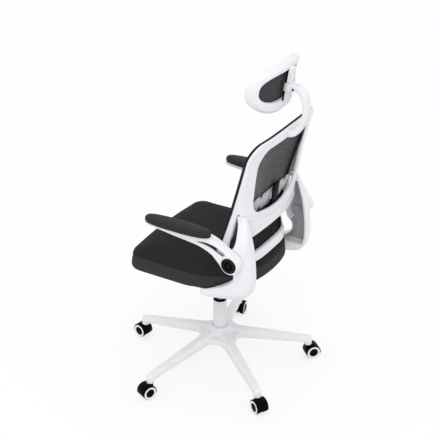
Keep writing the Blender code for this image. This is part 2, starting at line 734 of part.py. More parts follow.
def build_tension(steel, black, swivel):
    """The coil round the tilt pin and the knob that sets it."""
    half = HOUSING_HALF_WIDTH - HOUSING_WALL - SPRING_WIRE - GAP
    count = SPRING_TURNS * 7
    points = []
    for step in range(count + 1):
        turn = math.tau * SPRING_TURNS * step / count
        points.append(Vector((blend(-half, half, step / count), TILT_AXIS_Y + SPRING_RADIUS * math.sin(turn),
                              TILT_AXIS_Z + SPRING_RADIUS * math.cos(turn))))
    least = min((a - b).length for k, a in enumerate(points) for b in points[k + 6:]) - 2 * SPRING_WIRE
    print("least gap between the spring's coils, mm:", round(least * 1000, 2))
    curve = bpy.data.curves.new("tension_spring", "CURVE")
    curve.dimensions = "3D"
    curve.bevel_depth = SPRING_WIRE
    curve.bevel_resolution = 1
    curve.use_fill_caps = True
    spline = curve.splines.new("POLY")
    spline.points.add(len(points) - 1)
    for place, point in zip(spline.points, points):
        place.co = (*point, 1.0)
    curve.materials.append(steel)
    spring = bpy.data.objects.new("tension_spring", curve)
    spring.parent = swivel
    spring.matrix_parent_inverse = Matrix.Translation(swivel.location).inverted()
    bpy.context.collection.objects.link(spring)

    axis = (0.0, TILT_AXIS_Y, HOUSING_BOTTOM)
    lobes = [Vector((0.0, TILT_AXIS_Y)) + p * (1.0 + 0.07 * math.cos(6 * math.tau * k / 24))
             for k, p in enumerate(circle(KNOB_RADIUS, 24))]
    low = HOUSING_BOTTOM - 0.002 - KNOB_HEIGHT
    knob = add_piece("tension_knob", moulding([lobes], low, HOUSING_BOTTOM - 0.002, flat, 0.004, 0.002), black,
                     make_empty("tension_axis", axis), axis)
    combine(knob, rod_z(0.004, low + 0.005, HOUSING_BOTTOM + 0.018, 0.0, TILT_AXIS_Y, 12), "UNION")


def build_lever(black, swivel):
    """A rod out to the sitter's right that widens into a paddle."""
    root = HOUSING_HALF_WIDTH + 0.0005
    pivot = (-root - 0.003, LEVER_Y, SEAT_BOTTOM - LEVER_DROP)
    stations = [(root, 0.0, 0.4, 0.4), (root + 0.003, 0.0, 1.3, 1.3), (root + 0.010, 0.0, 1.3, 1.3),
                (root + 0.016, 0.0, 1.0, 1.0),
                (LEVER_REACH - 0.085, 0.0, 1.0, 1.0), (LEVER_REACH - 0.066, -0.001, 1.6, 1.0),
                (LEVER_REACH - 0.050, -0.002, 2.9, 0.9), (LEVER_REACH - 0.012, -0.004, 3.0, 0.8),
                (LEVER_REACH, -0.005, 2.0, 0.6)]
    rings = []
    for reach, sink, wide, tall in stations:
        rings.append([Vector((-reach, LEVER_Y + p.x * wide, pivot[2] + sink + p.y * tall))
                      for p in circle(LEVER_RADIUS, 10)])
    add_piece("height_lever", loft(rings), black, make_empty("lever_axis", pivot), pivot)


def build_tilt_plate(steel, tilt):
    """The pressed plate under the seat, with an ear on each side for the tilt pin."""
    outline = rounded_rectangle(-PLATE_HALF_WIDTH, PLATE_HALF_WIDTH, PLATE_FRONT, PLATE_REAR, 0.018, 4)
    plate = add_piece("tilt_plate", moulding([outline], PLATE_UNDERSIDE, PLATE_TOP, flat), steel, tilt)
    ear = arc((TILT_AXIS_Y, TILT_AXIS_Z), PIN_RADIUS + 0.007, 180, 360, 8)
    ear += [Vector((TILT_AXIS_Y + reach, PLATE_UNDERSIDE + 0.001)) for reach in (0.026, -0.026)]
    inner = HOUSING_HALF_WIDTH + SLACK
    ears = [moulding([ear], inner, inner + PLATE_THICKNESS, along_x(side)) for side in (-1, 1)]
    combine(plate, merged(ears), "UNION")
    reach = inner + PLATE_THICKNESS + 0.01
    combine(plate, rod_x(PIN_RADIUS + GAP, -reach, reach, TILT_AXIS_Y, TILT_AXIS_Z, 16), "DIFFERENCE")
    end = inner + PLATE_THICKNESS + SLACK
    head = PIN_RADIUS + 0.003
    pin = [(0.0, -end - 0.003), (head, -end - 0.003), (head, -end), (PIN_RADIUS, -end),
           (PIN_RADIUS, end + 0.002), (0.0, end + 0.002)]
    bar = turned(pin, 16, place=lambda u, v, w: Vector((w, TILT_AXIS_Y + u, TILT_AXIS_Z + v)))
    add_piece("tilt_pin", bar, steel, tilt)


# Seat


# The rear half of the seat's edge, as shares of its half width and of its length behind the column
SEAT_REAR_EDGE = ((1.0, 0.0), (0.985, 0.283), (0.929, 0.43), (0.846, 0.582), (0.733, 0.738), (0.604, 0.855),
                  (0.454, 0.935), (0.27, 0.978), (0.0, 1.0))


def seat_outline(grow=0.0):
    """Straight sides, rounded front corners and a rear that draws in round a bowed edge."""
    half, front, corner = SEAT_HALF_WIDTH, SEAT_FRONT, SEAT_FRONT_CORNER
    right = arc((half - corner, front + corner), corner, -90, 0, 5)
    right.append(Vector((half, blend(front + corner, 0.0, 0.5))))
    edge = [(half * across, SEAT_REAR * along) for across, along in SEAT_REAR_EDGE]
    right += smooth_path(edge + [(-edge[-2][0], edge[-2][1])], 14)[:-2]
    right = [p for p in right if p.x > 0.01]
    loop = right + [Vector((0.0, SEAT_REAR))] + [Vector((-p.x, p.y)) for p in reversed(right)]
    return inset_loop(loop, -grow) if grow else loop


def cushion_solid():
    outline = seat_outline()
    middle = Vector((0.0, (SEAT_FRONT + SEAT_REAR) / 2))
    roof = SEAT_BOTTOM + PAN_THICKNESS + GAP
    recess = PAN_INSET - GAP
    edge = SEAT_BOTTOM + CUSHION_SIDE
    insets = [(recess, roof), (recess, SEAT_BOTTOM), (0.006, SEAT_BOTTOM), (0.001, SEAT_BOTTOM + 0.008),
              (0.0, blend(SEAT_BOTTOM, edge, 0.35)), (CUSHION_DRAW_IN, blend(SEAT_BOTTOM, edge, 0.85)),
              (0.003, edge), (0.008, edge + 0.005), (0.020, edge + 0.010)]
    rings = [[Vector((p.x, p.y, height)) for p in inset_loop(outline, inset)] for inset, height in insets]
    top = inset_loop(outline, insets[-1][0])
    for share, rise in ((0.84, 0.55), (0.60, 0.85), (0.30, 1.0)):
        height = edge + 0.010 + (CUSHION_CROWN - 0.010) * rise
        rings.append([Vector((*(middle + (p - middle) * share), height)) for p in top])

    def fall(point):
        upper = ramp(point.z, SEAT_BOTTOM + 0.02, edge)
        forward = max(0.0, (middle.y - point.y) / (middle.y - SEAT_FRONT) - 0.35) / 0.65
        point.z -= WATERFALL * upper * forward * forward
        return point

    return moved(loft(rings), fall)


def build_seat(wood, fabric, tilt):
    pan = inset_loop(seat_outline(), PAN_INSET)
    add_piece("seat_pan", moulding([pan], SEAT_BOTTOM, SEAT_BOTTOM + PAN_THICKNESS, flat), wood, tilt)
    add_piece("seat_cushion", cushion_solid(), fabric, tilt)


# Brackets and arms


BRACKET_FRONT_EDGE = ((0.177, SEAM_RISE), (0.1875, 0.240), (0.189, 0.196), (0.168, 0.158), (0.165, 0.122),
                      (0.187, 0.092), (0.181, 0.058), (0.143, 0.027), (0.098, 0.008), (0.061, -0.003))
BRACKET_REAR_EDGE = ((0.207, SEAM_RISE), (0.221, 0.240), (0.233, 0.198), (0.241, 0.145), (0.2455, 0.090),
                     (0.2440, 0.040), (0.229, 0.003), (0.197, -0.0125), (0.145, -0.0190), (0.098, -0.0240),
                     (0.061, -0.0260))


def bracket_edges(count):
    front = smooth_path([(y, SEAT_BOTTOM + rise) for y, rise in BRACKET_FRONT_EDGE], count)
    rear = smooth_path([(y, SEAT_BOTTOM + rise) for y, rise in BRACKET_REAR_EDGE], count)
    return list(zip(front, rear))


def bracket_solid(side):
    """Sections from the seam down and forward under the seat, each with a broad round outer rear corner."""
    rings = []
    for front, rear in bracket_edges(22):
        across = (rear - front).normalized()
        span = (rear - front).length
        full = BRACKET_OUTER_X - BRACKET_INNER_X
        soft = min(0.005, span * 0.2)
        turn = min(BRACKET_ROUNDING, span * 0.55, full * 0.62)
        low = BRACKET_INNER_X
        section = [(front, low), (front, BRACKET_OUTER_X - soft), (front + across * soft, BRACKET_OUTER_X)]
        for angle in (0.0, 30.0, 60.0, 90.0):
            bend = math.radians(angle)
            edge = rear - across * (turn * (1.0 - math.sin(bend)))
            section.append((edge, BRACKET_OUTER_X - turn * (1.0 - math.cos(bend))))
        section.append((rear, low))
        rings.append([Vector((side * x, p.x, p.y)) for p, x in section])
    return loft(rings)


def bracket_pocket():
    """The hollow on the bracket's inner side, inside walls of even thickness."""
    low, high = SEAT_BOTTOM + 0.098, SEAM_Z - 0.022
    wall = Vector((BRACKET_WALL, 0.0))
    fronts = [front + wall for front, rear in bracket_edges(22) if low < front.y < high]
    rears = [rear - wall for front, rear in bracket_edges(22) if low < rear.y < high]
    return fronts + list(reversed(rears))


def bracket_lean(point):
    """Draw the outer face in towards the back frame's side as it rises to the seam."""
    full = BRACKET_OUTER_X - BRACKET_INNER_X
    top = (WAIST_HALF_WIDTH - BRACKET_INNER_X) / full
    share = blend(1.0, top, ramp(point.z, PIVOT_Z + 0.030, SEAM_Z))
    across = abs(point.x) - BRACKET_INNER_X
    point.x = math.copysign(BRACKET_INNER_X + across * share, point.x)
    return point


def build_bracket(side, name, white, steel, tilt):
    bracket = add_piece("bracket_" + name, moved(bracket_solid(side), bracket_lean), white, tilt)
    seat_room = moulding([seat_outline(SLACK)], SEAT_BOTTOM - GAP, SEAT_BOTTOM + 0.12, flat)
    combine(bracket, seat_room, "DIFFERENCE")
    floor = BRACKET_OUTER_X - BRACKET_WEB
    pocket = moulding([bracket_pocket()], BRACKET_INNER_X - 0.01, floor, along_x(side))
    combine(bracket, moved(pocket, bracket_lean), "DIFFERENCE")
    ends = (side * (floor - 0.004), side * (BRACKET_OUTER_X + 0.01))
    combine(bracket, rod_x(PIVOT_RADIUS + GAP, *ends, PIVOT_Y, PIVOT_Z, 16), "DIFFERENCE")
    head_low = floor - GAP - 0.005
    shaft = [(0.0, head_low), (PIVOT_RADIUS + 0.003, head_low), (PIVOT_RADIUS + 0.003, floor - GAP),
             (PIVOT_RADIUS, floor - GAP), (PIVOT_RADIUS, ARM_OUTER_X - 0.001), (0.0, ARM_OUTER_X - 0.001)]
    bolt = turned(shaft, 16, place=lambda u, v, w: Vector((side * w, PIVOT_Y + u, PIVOT_Z + v)))
    add_piece("arm_pivot_" + name, bolt, steel, tilt, (side * ARM_INNER_X, PIVOT_Y, PIVOT_Z))


# Arm outline and slot, as (forward or back, up) from the pivot
ARM_TOP_EDGE = ((-0.0717, 0.0790), (-0.0517, 0.0710), (-0.0317, 0.0605), (-0.0137, 0.0490), (0.0040, 0.0375))
ARM_LOW_EDGE = ((-0.0385, -0.0050), (-0.0520, 0.0090), (-0.0697, 0.0245), (-0.1077, 0.0421), (-0.1462, 0.0517),
                (-0.2012, 0.0611), (-0.2563, 0.0680), (-0.2957, 0.0725), (-0.3137, 0.0760))
ARM_SLOT = ((-0.1177, 0.0595), (-0.0877, 0.0607), (-0.0587, 0.0557), (-0.0357, 0.0470), (-0.0177, 0.0375),
            (-0.0247, 0.0280), (-0.0407, 0.0340), (-0.0687, 0.0463), (-0.0937, 0.0540))


def arm_outline():
    """The pad's seat, the top edge, the round eye about the pivot and the low edge back to the tip."""
    seat = ARM_PAD_RISE
    top = [Vector(p) for p in ((-0.3197, seat - 0.004), (-0.3167, seat), (-0.2007, seat), (-0.0837, seat))]
    eye = arc((0.0, 0.0), CAP_RADIUS + CAP_RIM, 50, -155, 10)
    loop = top + smooth_path(ARM_TOP_EDGE, 8) + eye + smooth_path(ARM_LOW_EDGE, 10)
    return [Vector((PIVOT_Y + p.x, PIVOT_Z + p.y)) for p in reversed(loop)]


def arm_slot():
    return [Vector((PIVOT_Y + p.x, PIVOT_Z + p.y)) for p in smooth_path(ARM_SLOT, 14, closed=True)]


def arm_spread(point):
    """Swing the arm outwards under the pad, from its place beside the bracket."""
    share = ramp(point.y, PIVOT_Y - 0.216, PIVOT_Y - 0.051)
    inner = blend(PAD_X - PAD_HALF_WIDTH + 0.008, ARM_INNER_X, share)
    outer = blend(PAD_X + PAD_HALF_WIDTH - 0.011, ARM_OUTER_X, share)
    across = (abs(point.x) - ARM_INNER_X) / ARM_THICKNESS
    point.x = math.copysign(blend(inner, outer, across), point.x)
    return point


def pad_solid(side):
    """A long oval pad, flat underneath, with soft edges and a low crown."""
    rows = [(0.90, 0.0), (0.975, 0.12), (1.0, 0.40), (0.955, 0.70), (0.80, 0.90), (0.45, 1.0)]
    outline = superellipse(PAD_HALF_WIDTH, PAD_HALF_LENGTH, 2.6, 24)
    rings = []
    for share, height in rows:
        trim = PAD_HALF_WIDTH * (1.0 - share)
        stretch = (PAD_HALF_LENGTH - trim) / PAD_HALF_LENGTH
        rings.append([Vector((side * (PAD_X + p.x * share), PAD_CENTRE_Y + p.y * stretch,
                              PAD_BOTTOM + PAD_THICKNESS * height)) for p in outline])
    return loft(rings)


def build_arm(side, name, white, black, fabric, tilt):
    pivot = (side * ARM_INNER_X, PIVOT_Y, PIVOT_Z)
    axis = make_empty("arm_axis_" + name, pivot)
    axis.parent = tilt
    axis.matrix_parent_inverse = Matrix.Translation(tilt.location).inverted()
    bore = [Vector((PIVOT_Y, PIVOT_Z)) + p for p in circle(PIVOT_RADIUS + GAP, 12)]
    loops = [arm_outline(), arm_slot(), bore]
    solid = moulding(loops, ARM_INNER_X, ARM_OUTER_X, along_x(side), 0.0025, 0.0045)
    add_piece("arm_" + name, moved(solid, arm_spread), white, axis, pivot)
    add_piece("arm_pad_" + name, pad_solid(side), fabric, axis, pivot)
    low = ARM_OUTER_X + GAP
    high = low + CAP_THICKNESS
    dish = CAP_RADIUS * 0.55
    cap = [(0.0, low), (CAP_RADIUS - 0.001, low), (CAP_RADIUS, low + 0.001), (CAP_RADIUS - 0.001, high),
           (dish, high), (dish - 0.0015, high - 0.0012), (0.0, high - 0.0012)]
    disc = turned(cap, 24, place=lambda u, v, w: Vector((side * w, PIVOT_Y + u, PIVOT_Z + v)))
    add_piece("arm_cap_" + name, disc, black, axis, pivot)


# Back frame, mesh and lumbar support

# Where the hoop's front face lies, as (height above the seat, y), at its sides and on the middle line
HOOP_SIDE = ((0.05, 0.084), (0.15, 0.111), (0.25, 0.144), (0.35, 0.177), (0.45, 0.209), (0.56, 0.243))
HOOP_MIDDLE = ((0.05, 0.197), (0.10, 0.190), (0.17, 0.182), (0.25, 0.186), (0.35, 0.208), (0.45, 0.234),
               (0.56, 0.258))
HOOP_LEAST_DEPTH = 0.0068
# The hoop's depth behind that face, as (height above the seat, depth)
HOOP_DEPTH = ((0.09, 0.018), (0.14, 0.025), (0.20, 0.027), (0.285, 0.0205), (0.300, 0.036), (0.34, 0.032),
              (0.40, 0.022), (0.47, 0.013), (0.56, 0.006))


def curve_value(table, rise):
    """Straight runs between the chosen points, softened where they meet."""
    reach = 0.02
    samples = [straight_value(table, rise + reach * k / 2) for k in (-2, -1, 0, 1, 2)]
    return sum(samples) / len(samples)


def straight_value(table, rise):
    for (a, low), (b, high) in zip(table, table[1:]):
        if rise <= b or (b, high) == table[-1]:
            return blend(low, high, (rise - a) / (b - a))
    return table[-1][1]


def back_half(z):
    """The back's half width: it draws in from its top to a waist at the brackets' seam."""
    return blend(WAIST_HALF_WIDTH, BACK_HALF_WIDTH, min(1.0, max(0.0, (z - SEAM_Z) / (BACK_TOP - SEAM_Z))))


def drawn_in(point):
    return Vector((point.x * back_half(point.y) / BACK_HALF_WIDTH, point.y))


def front_face(x, z):
    """Nearly flat in the middle, and bent forward at the sides."""
    rise = z - SEAT_BOTTOM
    side = curve_value(HOOP_SIDE, rise)
    middle = curve_value(HOOP_MIDDLE, rise)
    return blend(middle, side, min(1.2, (x / back_half(z)) ** 4))


def rear_face(x, z):
    """The back of the moulded frame: a slight lean and an even bow, never inside the hoop's own depth."""
    rise = z - SEAT_BOTTOM
    lean = 0.2005 + 0.132 * (rise - 0.306) + 0.007 * ramp(rise, 0.36, 0.55)
    return max(lean + 0.030 * (1.0 - (x / back_half(z)) ** 2), front_face(x, z) + 0.009)


def hoop_outline(grow=0.0):
    """The mesh hoop's outer edge in (x, z), from the middle of its foot, round and back."""
    half = BACK_HALF_WIDTH + grow
    low, high = BACK_BOTTOM - grow, BACK_TOP + grow
    lower, upper = BACK_BOTTOM_CORNER + grow, BACK_TOP_CORNER + grow
    right = [Vector((half * k / 3 * 0.62, low)) for k in range(1, 3)]
    right += arc((half - lower, low + lower), lower, -90, 0, 7)
    right += [Vector((half, blend(low + lower, SEAM_Z + 0.0005, k / 2))) for k in range(1, 3)]
    right += [Vector((half, blend(SEAM_Z + 0.014, high - upper, k / 4))) for k in range(4)]
    right += arc((half - upper, high - upper), upper, 0, 90, 6)
    right += [Vector((half * (1 - k / 3) * 0.75, high)) for k in range(1, 3)]
    right = [drawn_in(p) for p in right]
    loop = [Vector((0.0, low))] + right + [Vector((0.0, high))]
    return loop + [Vector((-p.x, p.y)) for p in reversed(right)]


def box_section(outer, inner, front_of, rear_of, soft):
    """A section between an outer and an inner edge point, with small chamfers."""
    across = (inner - outer).normalized()
    points = []
    for edge, turn in ((outer, 1.0), (inner, -1.0)):
        front, rear = front_of(edge), rear_of(edge)
        cut = edge + across * (turn * soft)
        corners = [(cut, front_of(cut)), (edge, front + soft), (edge, rear - soft), (cut, rear_of(cut))]
        if turn < 0:
            corners.reverse()
        points += [Vector((p.x, y, p.y)) for p, y in corners]
    return points


def hoop_inner_edge():
    """The hoop's inner edge, further in along its deeper foot."""
    outline = hoop_outline()
    edge = []
    thin_edge = inset_loop(outline, HOOP_WIDTH)
    thick_edge = inset_loop(outline, HOOP_BOTTOM_WIDTH)
    for point, thin, thick in zip(outline, thin_edge, thick_edge):
        foot = 1.0 - ramp(point.y, BACK_BOTTOM, BACK_BOTTOM + 0.6 * BACK_BOTTOM_CORNER)
        edge.append(thin.lerp(thick, foot))
    return edge


def hoop_solid():
    rings = []
    for point, inner in zip(hoop_outline(), hoop_inner_edge()):

        def front_of(p):
            return front_face(p.x, p.y)

        def rear_of(p, edge=point):
            deep = front_face(edge.x, edge.y) + straight_value(HOOP_DEPTH, edge.y - SEAT_BOTTOM)
            return max(deep, front_face(p.x, p.y) + HOOP_LEAST_DEPTH)

        rings.append(box_section(point, inner, front_of, rear_of, 0.0025))
    return loft(rings, closed=True)


def frame_edges():
    """Matched points on the moulded frame's outer edge and on its big opening, in (x, z)."""
    half, top = BACK_HALF_WIDTH - 0.001, BACK_TOP - 0.002
    ledge = SEAM_Z + GAP
    step_x = BRACKET_INNER_X - SLACK
    low = SEAT_BOTTOM + RAIL_LOW_RISE
    corner = BACK_TOP_CORNER
    open_half, open_corner = OPENING_HALF_WIDTH, OPENING_CORNER
    open_top = SEAT_BOTTOM + OPENING_TOP_RISE
    open_low = SEAT_BOTTOM + OPENING_BOTTOM_RISE
    outer = [(0.0, low + RAIL_ARCH), (step_x * 0.35, low + RAIL_ARCH * 0.8),
             (step_x * 0.68, low + RAIL_ARCH * 0.3), (step_x, low), (step_x, blend(low, ledge, 0.5)),
             (step_x, ledge), (half, ledge)]
    inner = [(0.0, open_low), (open_half * 0.28, open_low + 0.001), (open_half * 0.55, open_low + 0.006)]
    low_middle = (open_half - open_corner, open_low + open_corner + 0.008)
    inner += [tuple(p) for p in arc(low_middle, open_corner, -75, 0, 3)]
    sides = 6
    for k in range(1, sides + 1):
        outer.append((half, blend(ledge, top - corner, k / sides)))
        inner.append((open_half, blend(inner[6][1], open_top - open_corner, k / sides)))
    outer += [tuple(p) for p in arc((half - corner, top - corner), corner, 0, 90, 5)[1:]]
    high_middle = (open_half - open_corner, open_top - open_corner)
    inner += [tuple(p) for p in arc(high_middle, open_corner, 0, 90, 5)[1:]]
    outer += [(half * 0.38, top), (half * 0.19, top), (0.0, top)]
    inner += [(open_half * 0.36, open_top + 0.003), (open_half * 0.18, open_top + 0.004)]
    inner += [(0.0, open_top + 0.005)]
    outer = [Vector(p) if p[1] < ledge or p[0] == step_x else drawn_in(Vector(p)) for p in outer]
    pairs = [(a, drawn_in(Vector(b))) for a, b in zip(outer, inner)]
    mirrored = [(Vector((-a.x, a.y)), Vector((-b.x, b.y))) for a, b in pairs[1:-1]]
    return pairs + list(reversed(mirrored))


def frame_front(p):
    """The front of the moulded frame, kept behind the hoop's face where the two run together."""
    return max(rear_face(p.x, p.y) - FRAME_THICKNESS, front_face(p.x, p.y) + 0.003)


def frame_solid():
    rings = []
    for outer, inner in frame_edges():
        rings.append(box_section(outer, inner, frame_front, lambda p: rear_face(p.x, p.y), 0.002))
    return loft(rings, closed=True)


def build_back(white, fabric, tilt):
    frame = add_piece("back_frame", frame_solid(), white, tilt)
    combine(frame, hoop_solid(), "UNION")
    add_piece("back_mesh", mesh_solid(), fabric, tilt)


def mesh_solid():
    """The stretched panel on the hoop's front, with a thicker rolled border that shows outside it."""
    border = hoop_outline(MESH_OVERHANG)
    inner = hoop_inner_edge()
    middle = Vector((0.0, (BACK_TOP + BACK_BOTTOM) / 2))

    def sheet(ring, forward):
        return [Vector((p.x, front_face(p.x, p.y) - MESH_REST - forward, p.y)) for p in ring]

    field = [[middle + (p - middle) * share for p in inner] for share in (0.30, 0.68, 1.0)]
    rows = [sheet(ring, 0.0) for ring in field + [border]]
    rows.append(sheet(inset_loop(border, 0.001), MESH_BORDER))
    rows.append(sheet(inset_loop(border, MESH_BORDER), MESH_BORDER))
    rows += [sheet(ring, MESH_THICKNESS) for ring in reversed(field)]
    return loft(rows)


def lumbar_face(x, z):
    """Just behind the mesh."""
    return front_face(x, z) + LUMBAR_SETBACK


def build_lumbar(white, grey, tilt):
    centre = SEAT_BOTTOM + LUMBAR_RISE
    half, tall = LUMBAR_HALF_WIDTH, LUMBAR_HEIGHT / 2
    low = SEAT_BOTTOM + RAIL_LOW_RISE + RAIL_ARCH + 0.012
    high = centre + tall + LUMBAR_TRAVEL

    def behind(x, z):
        return rear_face(x, z) - FRAME_THICKNESS - GAP - SLACK

    rings = []
    for k in range(7):
        z = blend(low, high, k / 6)
        rear = behind(LUMBAR_RAIL_HALF_WIDTH, z)
        wide = LUMBAR_RAIL_HALF_WIDTH
        front = rear - LUMBAR_RAIL_THICKNESS
        corners = ((-wide, rear), (wide, rear), (wide, front), (-wide, front))
        rings.append([Vector((x, y, z)) for x, y in corners])
    add_piece("lumbar_rail", loft(rings), white, tilt)

    axis = make_empty("lumbar_axis", (0.0, behind(0.0, centre), centre))
    axis.parent = tilt
    axis.matrix_parent_inverse = Matrix.Translation(tilt.location).inverted()
    notch = 0.014
    start = half * 0.55
    right = [(0.020, -tall), (start, -tall), (start + 0.006, -tall + notch), (start + 0.016, -tall + notch),
             (start + 0.022, -tall), (half - 0.012, -tall * 0.8), (half, -tall * 0.3), (half, tall * 0.45),
             (half - 0.014, tall * 0.85), (start + 0.022, tall), (start + 0.016, tall - notch),
             (start + 0.006, tall - notch), (start, tall), (0.020, tall)]
    loop = [Vector((x, z)) for x, z in right] + [Vector((-x, z)) for x, z in reversed(right)]

    def plate_place(u, v, w):
        return Vector((u, lumbar_face(u, centre + v) + w, centre + v))

    add_piece("lumbar_pad", moulding([loop], 0.0, LUMBAR_PLATE, plate_place), grey, axis)
    grip = LUMBAR_RAIL_HALF_WIDTH - 0.004
    rings = []
    for z in (centre - 0.014, centre + 0.014):
        front = lumbar_face(0.0, z) + LUMBAR_PLATE + GAP
        rear = behind(LUMBAR_RAIL_HALF_WIDTH, z) - LUMBAR_RAIL_THICKNESS - SLACK
        corners = ((-grip, front), (grip, front), (grip, rear), (-grip, rear))
        rings.append([Vector((x, y, z)) for x, y in corners])
    add_piece("lumbar_carriage", loft(rings), white, axis)


# Headrest

HEAD_UP = Vector((0.0, math.sin(math.radians(HEAD_LEAN)), math.cos(math.radians(HEAD_LEAN))))
HEAD_FRONT = Vector((0.0, -math.cos(math.radians(HEAD_LEAN)), math.sin(math.radians(HEAD_LEAN))))


def head_place(x, up, depth):
    """A point on the headrest: across, up along its rib, and forward of its rear face."""
    curve = HEAD_CURVE * x * x
    return HEAD_CENTRE + Vector((x, 0.0, 0.0)) + HEAD_UP * up + HEAD_FRONT * (depth + curve)


def head_edges():
    """Matched points on the headrest's rim and on the window in its back."""
    rim = superellipse(HEAD_HALF_WIDTH, HEAD_HALF_HEIGHT, HEAD_ROUNDNESS, HEAD_STEPS)
    window = superellipse(HEAD_HOLE_HALF_WIDTH, HEAD_HOLE_HALF_HEIGHT, HEAD_ROUNDNESS + 0.2, HEAD_STEPS)
    return rim, [p + Vector((0.0, HEAD_HOLE_RISE)) for p in window]


def head_frame_solid():
    """A curved dish with a rounded rim and an oval window in its back."""
    outer, hole = head_edges()
    rings = []
    for rim, window in zip(outer, hole):
        inward = (window - rim).normalized()
        section = [(window, 0.004), (window - inward * 0.003, 0.0), (rim + inward * 0.010, 0.0),
                   (rim + inward * 0.002, 0.006), (rim, HEAD_DEPTH * 0.45),
                   (rim + inward * 0.003, HEAD_DEPTH), (rim + inward * HEAD_WALL, HEAD_DEPTH),
                   (rim + inward * HEAD_WALL, HEAD_PLATE),
                   (window, HEAD_PLATE)]
        rings.append([head_place(p.x, p.y, depth) for p, depth in section])
    return loft(rings, closed=True)


def head_pad_solid():
    """The padded mesh inside the dish, with a crowned front."""
    outer, hole = head_edges()
    edge = [rim + (window - rim).normalized() * (HEAD_WALL + GAP) for rim, window in zip(outer, hole)]
    back = HEAD_PLATE + GAP + SLACK
    rows = [(hole, 0.45, back), (hole, 1.0, back), (edge, 1.0, back), (edge, 1.0, HEAD_DEPTH),
            (edge, 0.94, HEAD_DEPTH + 0.55 * HEAD_PAD_CROWN), (edge, 0.72, HEAD_DEPTH + 0.9 * HEAD_PAD_CROWN),
            (edge, 0.35, HEAD_DEPTH + HEAD_PAD_CROWN)]
    return loft([[head_place(p.x * share, p.y * share, depth) for p in ring] for ring, share, depth in rows])


def knuckle_depth():
    return -(RIB_DEPTH + GAP + BLOCK_WALL + KNUCKLE_RADIUS + SLACK + 0.001)


def neck_pin_point():
    return head_place(0.0, 0.0, knuckle_depth())


def block_solid():
    """A slider that hugs the rib."""
    inner = RIB_HALF_WIDTH + GAP
    outer = inner + BLOCK_WALL
    channel = -(RIB_DEPTH + GAP)
    back = channel - BLOCK_WALL
    outline = [(-outer, -0.002), (-inner, -0.002), (-inner, channel), (inner, channel), (inner, -0.002),
               (outer, -0.002), (outer, back), (-outer, back)]
    rings = [[head_place(0.0, up, depth) + Vector((x, 0.0, 0.0)) for x, depth in outline]
             for up in (-BLOCK_HALF_HEIGHT, BLOCK_HALF_HEIGHT)]
    return loft(rings)


def tongue_loop(radius, root):
    """A round end about the pin and straight sides forward to its root, as (depth, up)."""
    centre = knuckle_depth()
    return arc((centre, 0.0), radius, 90, 270, 8) + [Vector((root, -radius)), Vector((root, radius))]


def tongue_solid(radius, root, half):
    return moulding([tongue_loop(radius, root)], -half, half,
                    lambda u, v, w: head_place(0.0, v, u) + Vector((w, 0.0, 0.0)))


def fork_slot(radius, root, half):
    """Room in the neck for the tongue at both ends of its swing."""
    centre = knuckle_depth()
    flare = math.radians(TONGUE_SWING)
    side = radius / math.cos(flare) + (root - centre) * math.tan(flare)
    loop = arc((centre, 0.0), radius, 90 + TONGUE_SWING, 270 - TONGUE_SWING, 8)
    loop += [Vector((root, -side)), Vector((root, side))]
    return moulding([loop], -half, half, lambda u, v, w: head_place(0.0, v, u) + Vector((w, 0.0, 0.0)))


def neck_solid():
    """A bar that leaves the top rail, bows out to the rear and comes back to the pin."""
    pin = neck_pin_point()
    rail = BACK_TOP - 0.020
    start = rear_face(0.0, rail)
    reach, climb = pin.y - start, pin.z - rail
    knots = [(start, rail), (start + 0.022, rail + 0.009), (start + 0.041, rail + 0.25 * climb),
             (start + 0.0535, rail + 0.47 * climb), (start + 0.0525, rail + 0.70 * climb),
             (start + 0.043, rail + 0.90 * climb), (start + reach + 0.014, pin.z + 0.002), (pin.y, pin.z)]
    path = smooth_path(knots, 12)
    rings = []
    for k, point in enumerate(path):
        ahead = (path[min(k + 1, len(path) - 1)] - path[max(k - 1, 0)]).normalized()
        across = Vector((-ahead.y, ahead.x))
        share = k / (len(path) - 1)
        half = NECK_HALF_WIDTH * blend(1.2, 1.0, ramp(share, 0.0, 0.2))
        deep = NECK_DEPTH / 2 * blend(1.4, 1.0, ramp(share, 0.0, 0.25))
        ring = []
        for x, out in ((-1, -0.7), (-0.75, -1), (0.75, -1), (1, -0.7), (1, 0.7), (0.75, 1), (-0.75, 1),
                       (-1, 0.7)):
            place = point + across * (out * deep)
            ring.append(Vector((x * half, place.x, place.y)))
        if k == 0:
            ring = [Vector((p.x, rear_face(p.x, p.z) + GAP, p.z)) for p in ring]
        rings.append(ring)
    return loft(rings)


